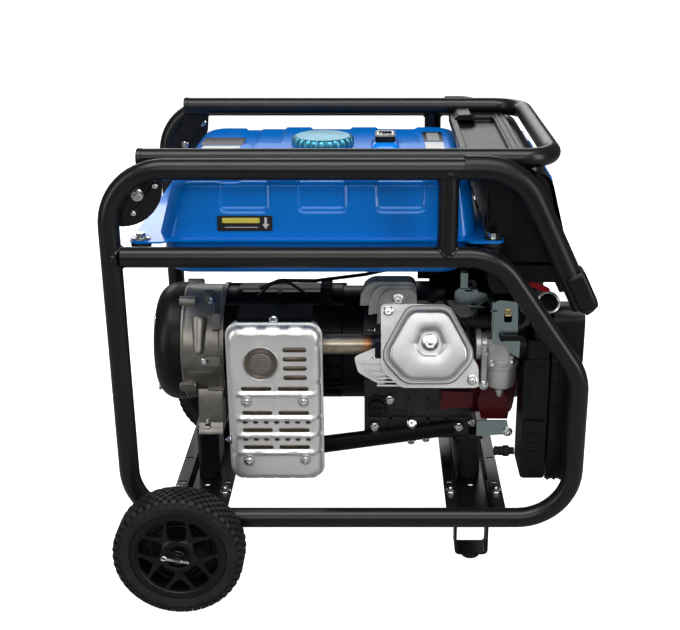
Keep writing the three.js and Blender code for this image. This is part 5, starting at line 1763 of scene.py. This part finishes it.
def air_cleaner():
    """The upright box with its ribbed near side, the elbow from the carburettor and the snorkel."""
    x0, x1, y0, y1, z0, z1 = (AIR[key] for key in ("x0", "x1", "y0", "y1", "z0", "z1"))
    outline = rounded_outline([(x0, z0), (x1, z0), (x1, z1), (x0, z1)], 8)
    case = prism(outline, "y", y0, y1, 2.5, 3)
    recess = [
        block(x0 + 8, x1 - 6, y0 - 4, y0 + 3, z0 + 96, z0 + 103),
        block(x1 - 3, x1 + 3, y0 - 4, y1 - 8, z0 - 4, z1 + 4),
    ]
    parts = [carved(case, *recess)]
    ledge = rounded_outline(
        [(x0 + 2, z0 + 92), (x0 + 4, z0 + 100), (x1 - 6, z0 + 98), (x1 - 6, z0 + 90)], 2)
    parts.append(prism(ledge, "y", y0 - 3, y0 + 2, 0.8))
    field = round_rect(x0 + 10, x1 - 12, z0 + 108, z1 - 10, 6, 5)
    parts.append(prism(field, "y", y0 - 1.6, y0 + 1, 0.8))
    for k in range(5):
        z = z0 + 14 + k * 15
        parts.append(block(x0 + 9, x1 - 9, y0 - 1.8, y0 + 1, z, z + 3, 0.6))
    lower = round_rect(x0 + 4, x1, y0 + 1, y1, 12, 5)
    parts.append(prism(lower, "z", z1 - 14, z1 + 30, 5, 3))
    upper = round_rect(x0 + 12, x1, y0 + 3, y1, 12, 5)
    parts.append(prism(upper, "z", z1 + 20, z1 + 62, 6, 3))
    elbow = bent_route([(246.8, -160, 376), (278, -160, 376), (278, -160, 396)], 10, 8)
    parts.append(swept(ring_points(22, 36), elbow))
    snorkel_at, snorkel_out = (292, -178, 446), (0.1, -0.8, 0.6)
    mouth = turned(
        [(0, 0), (16, 0), (16, 18), (13.4, 18), (13.4, 3), (0, 3)], "z", (0, 0, 0), 44)
    parts.append(facing(mouth, snorkel_at, snorkel_out))
    show("air_box", parts, "black_plastic", ["air_cleaner"])
    ring = turned(
        [(13.6, 16), (16.2, 15.6), (17.4, 17), (17, 19.4), (15, 20.4), (13.6, 19), (13.6, 16)],
        "z", (0, 0, 0), 48)
    show("snorkel_ring", facing(ring, snorkel_at, snorkel_out), "cover_silver")
    stub = turned(
        [(0, 226), (6, 226), (7.5, 228), (7.5, 231), (6.4, 232), (7.5, 234), (7.5, 240), (9, 241),
         (9, 249), (6, 251), (6, 258), (0, 258)], "x", (0, -150, z0 + 24), 32)
    show("drain_plug", stub, "rubber")


def air_cleaner_cover():
    """The cover with its dome, three bands round it, a strap and four short fins."""
    x1, x2, y0, y1, z0, z1 = (AIR[key] for key in ("x1", "x2", "y0", "y1", "z0", "z1"))
    cover = prism(round_rect(y0, y1, z0 - 6, z1 + 2, 12, 6), "x", x1 + 0.3, x2, 5, 4)
    dome_outline = round_rect(y0 + 2, y1 - 4, z1 - 20, z1 + 78, 24, 8)
    dome = prism(dome_outline, "x", x1 + 0.3, x2 + 8, 9, 4)
    band = round_rect(y0 - 1.6, y1 + 1, z0 - 7.6, z1 + 3, 13, 6)
    bands = [prism(band, "x", x, x + 3, 0.8) for x in (x1 + 3, x1 + 13, x1 + 23)]
    strap = block(x1 + 2, x1 + 12, y0 - 3.4, y0 + 1, z0 + 60, z0 + 120, 1)
    fins = [
        block(x1 + 1, x2 - 6, y0 - 2.2, y0 + 1, z0 + up, z0 + up + 3.4, 0.8)
        for up in (30, 78, 118, 158)
    ]
    whole = joined(cover, dome, *bands, strap, *fins)
    show("air_box_cover", whole, "black_plastic", ["air_cleaner_cover"])


# ---- starter -----------------------------------------------------------------------------
def starter():
    """The recoil grip, and the rope from the starter to the grip."""
    x, z = 282, 366
    grip = turned(
        [(0, 0), (7, 0), (9.5, 2), (11, 10), (10, 20), (11, 28), (9.5, 34), (6, 36), (0, 36)],
        "x", (x - 18, 124, z), 36)
    neck = rod("y", 8.6, 106.4, 122, (x, z), 32, 1.5)
    show("starter_handle", [grip, neck], "rubber", ["recoil_grip"], body="starter_grip")
    rings = [(Vector((x, 88 + k * 0.8, z)), Vector((0, 1, 0))) for k in range(26)]
    rope = swept(ring_points(2.4, 14), rings)
    rope_piece = show("starter_rope", rope, "rubber", body=None)
    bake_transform(rope_piece)


# ---- studio ------------------------------------------------------------------------------
def floor():
    """A wide ground that the camera sees as white and that lights the set like a dull grey."""
    code = prism(round_rect(-9000, 9000, -9000, 9000, 3000, 8), "z", -40, 0)
    mesh = bpy.data.meshes.new("studio_floor")
    code.transform(Matrix.Scale(MM, 4))
    code.to_mesh(mesh)
    code.free()
    s = Surface("studio_floor", (0.80, 0.80, 0.80), 0.6, specular=0.0)
    s.vary_colour((0.82, 0.82, 0.82), 3)
    path = s.node("ShaderNodeLightPath")
    s.shader.inputs["Emission Color"].default_value = (1, 1, 1, 1)
    s.link(path.outputs["Is Camera Ray"], s.shader.inputs["Emission Strength"])
    dim = s.node("ShaderNodeBsdfDiffuse")
    dim.inputs["Color"].default_value = (0.30, 0.30, 0.30, 1)
    mix = s.node("ShaderNodeMixShader")
    s.link(path.outputs["Is Camera Ray"], mix.inputs[0])
    s.link(dim.outputs[0], mix.inputs[1])
    s.link(s.shader.outputs[0], mix.inputs[2])
    s.link(mix.outputs[0], s.tree.nodes["Material Output"].inputs["Surface"])
    mesh.materials.append(s.material)
    ground = bpy.data.objects.new("studio_floor", mesh)
    bpy.context.scene.collection.objects.link(ground)


def softbox(name, place, target, width, height, power):
    """A rectangular lamp that the camera doesn't see; metres and watts."""
    lamp = bpy.data.lights.new(name, "AREA")
    lamp.shape = "RECTANGLE"
    lamp.size = width
    lamp.size_y = height
    lamp.energy = power
    holder = bpy.data.objects.new(name, lamp)
    holder.location = place
    aim = Vector(target) - Vector(place)
    holder.rotation_euler = aim.to_track_quat("-Z", "Y").to_euler()
    holder.visible_camera = False
    bpy.context.scene.collection.objects.link(holder)


def studio():
    world = bpy.data.worlds.new("studio")
    world.use_nodes = True
    nodes = world.node_tree.nodes
    links = world.node_tree.links
    backdrop = nodes["Background"]
    backdrop.inputs["Color"].default_value = (1, 1, 1, 1)
    backdrop.inputs["Strength"].default_value = 0.11
    seen = nodes.new("ShaderNodeBackground")
    seen.inputs["Color"].default_value = (1, 1, 1, 1)
    seen.inputs["Strength"].default_value = 1.0
    path = nodes.new("ShaderNodeLightPath")
    mix = nodes.new("ShaderNodeMixShader")
    links.new(path.outputs["Is Camera Ray"], mix.inputs[0])
    links.new(backdrop.outputs[0], mix.inputs[1])
    links.new(seen.outputs[0], mix.inputs[2])
    links.new(mix.outputs[0], nodes["World Output"].inputs["Surface"])
    bpy.context.scene.world = world
    for name, place, width, height, power in LAMPS:
        softbox(name, place, (0, 0, 0.4), width, height, power)
    bpy.context.scene.view_settings.view_transform = "Standard"


def camera():
    """A long lens from the near side, looking about 20.5 degrees down."""
    lens = bpy.data.cameras.new("camera")
    lens.sensor_width = CAMERA["sensor"]
    lens.lens = CAMERA["lens"]
    lens.shift_x = CAMERA["shift"]
    view = bpy.data.objects.new("camera", lens)
    view.location = CAMERA["place"]
    view.rotation_euler = (math.radians(90 - CAMERA["down"]), 0, 0)
    bpy.context.scene.collection.objects.link(view)
    bpy.context.scene.camera = view


# ---- assembly ----------------------------------------------------------------------------
camera()
studio()
floor()
for side, name in ((-1, "near"), (1, "far")):
    side_frame(side, name)
    gusset_bolts(side, name)
    tyre(name)
    rim(name)
    hub_cap(name)
rails()
rail_bolts()
foot_pads()
trolley_handle()

tank()
tank_fasteners()
fuel_cap()
fuel_gauge()
tank_labels()
panel_fascia()
box_webs()
panel_screws()
panel_details()
for index, y in enumerate(OUTLET_Y, 1):
    outlet(y, index)
alternator_cover()
alternator_bracket()
stator()
alternator_lead()
crankcase_details()
dipstick()
cylinder_head()
valve_cover()
cooling_cowl()
muffler_can()
muffler_shield()
shield_edge()
arrester()
shield_fasteners()
exhaust_pipe()
muffler_stay()
carburettor()
governor()
hose_and_leads()
engine_sheets()
wiring()
painted_shade_hood()
fuel_tap()
air_cleaner()
air_cleaner_cover()
starter()

for node, obj in frame["nodes"].items():
    if not obj.hide_render:
        refined(node)
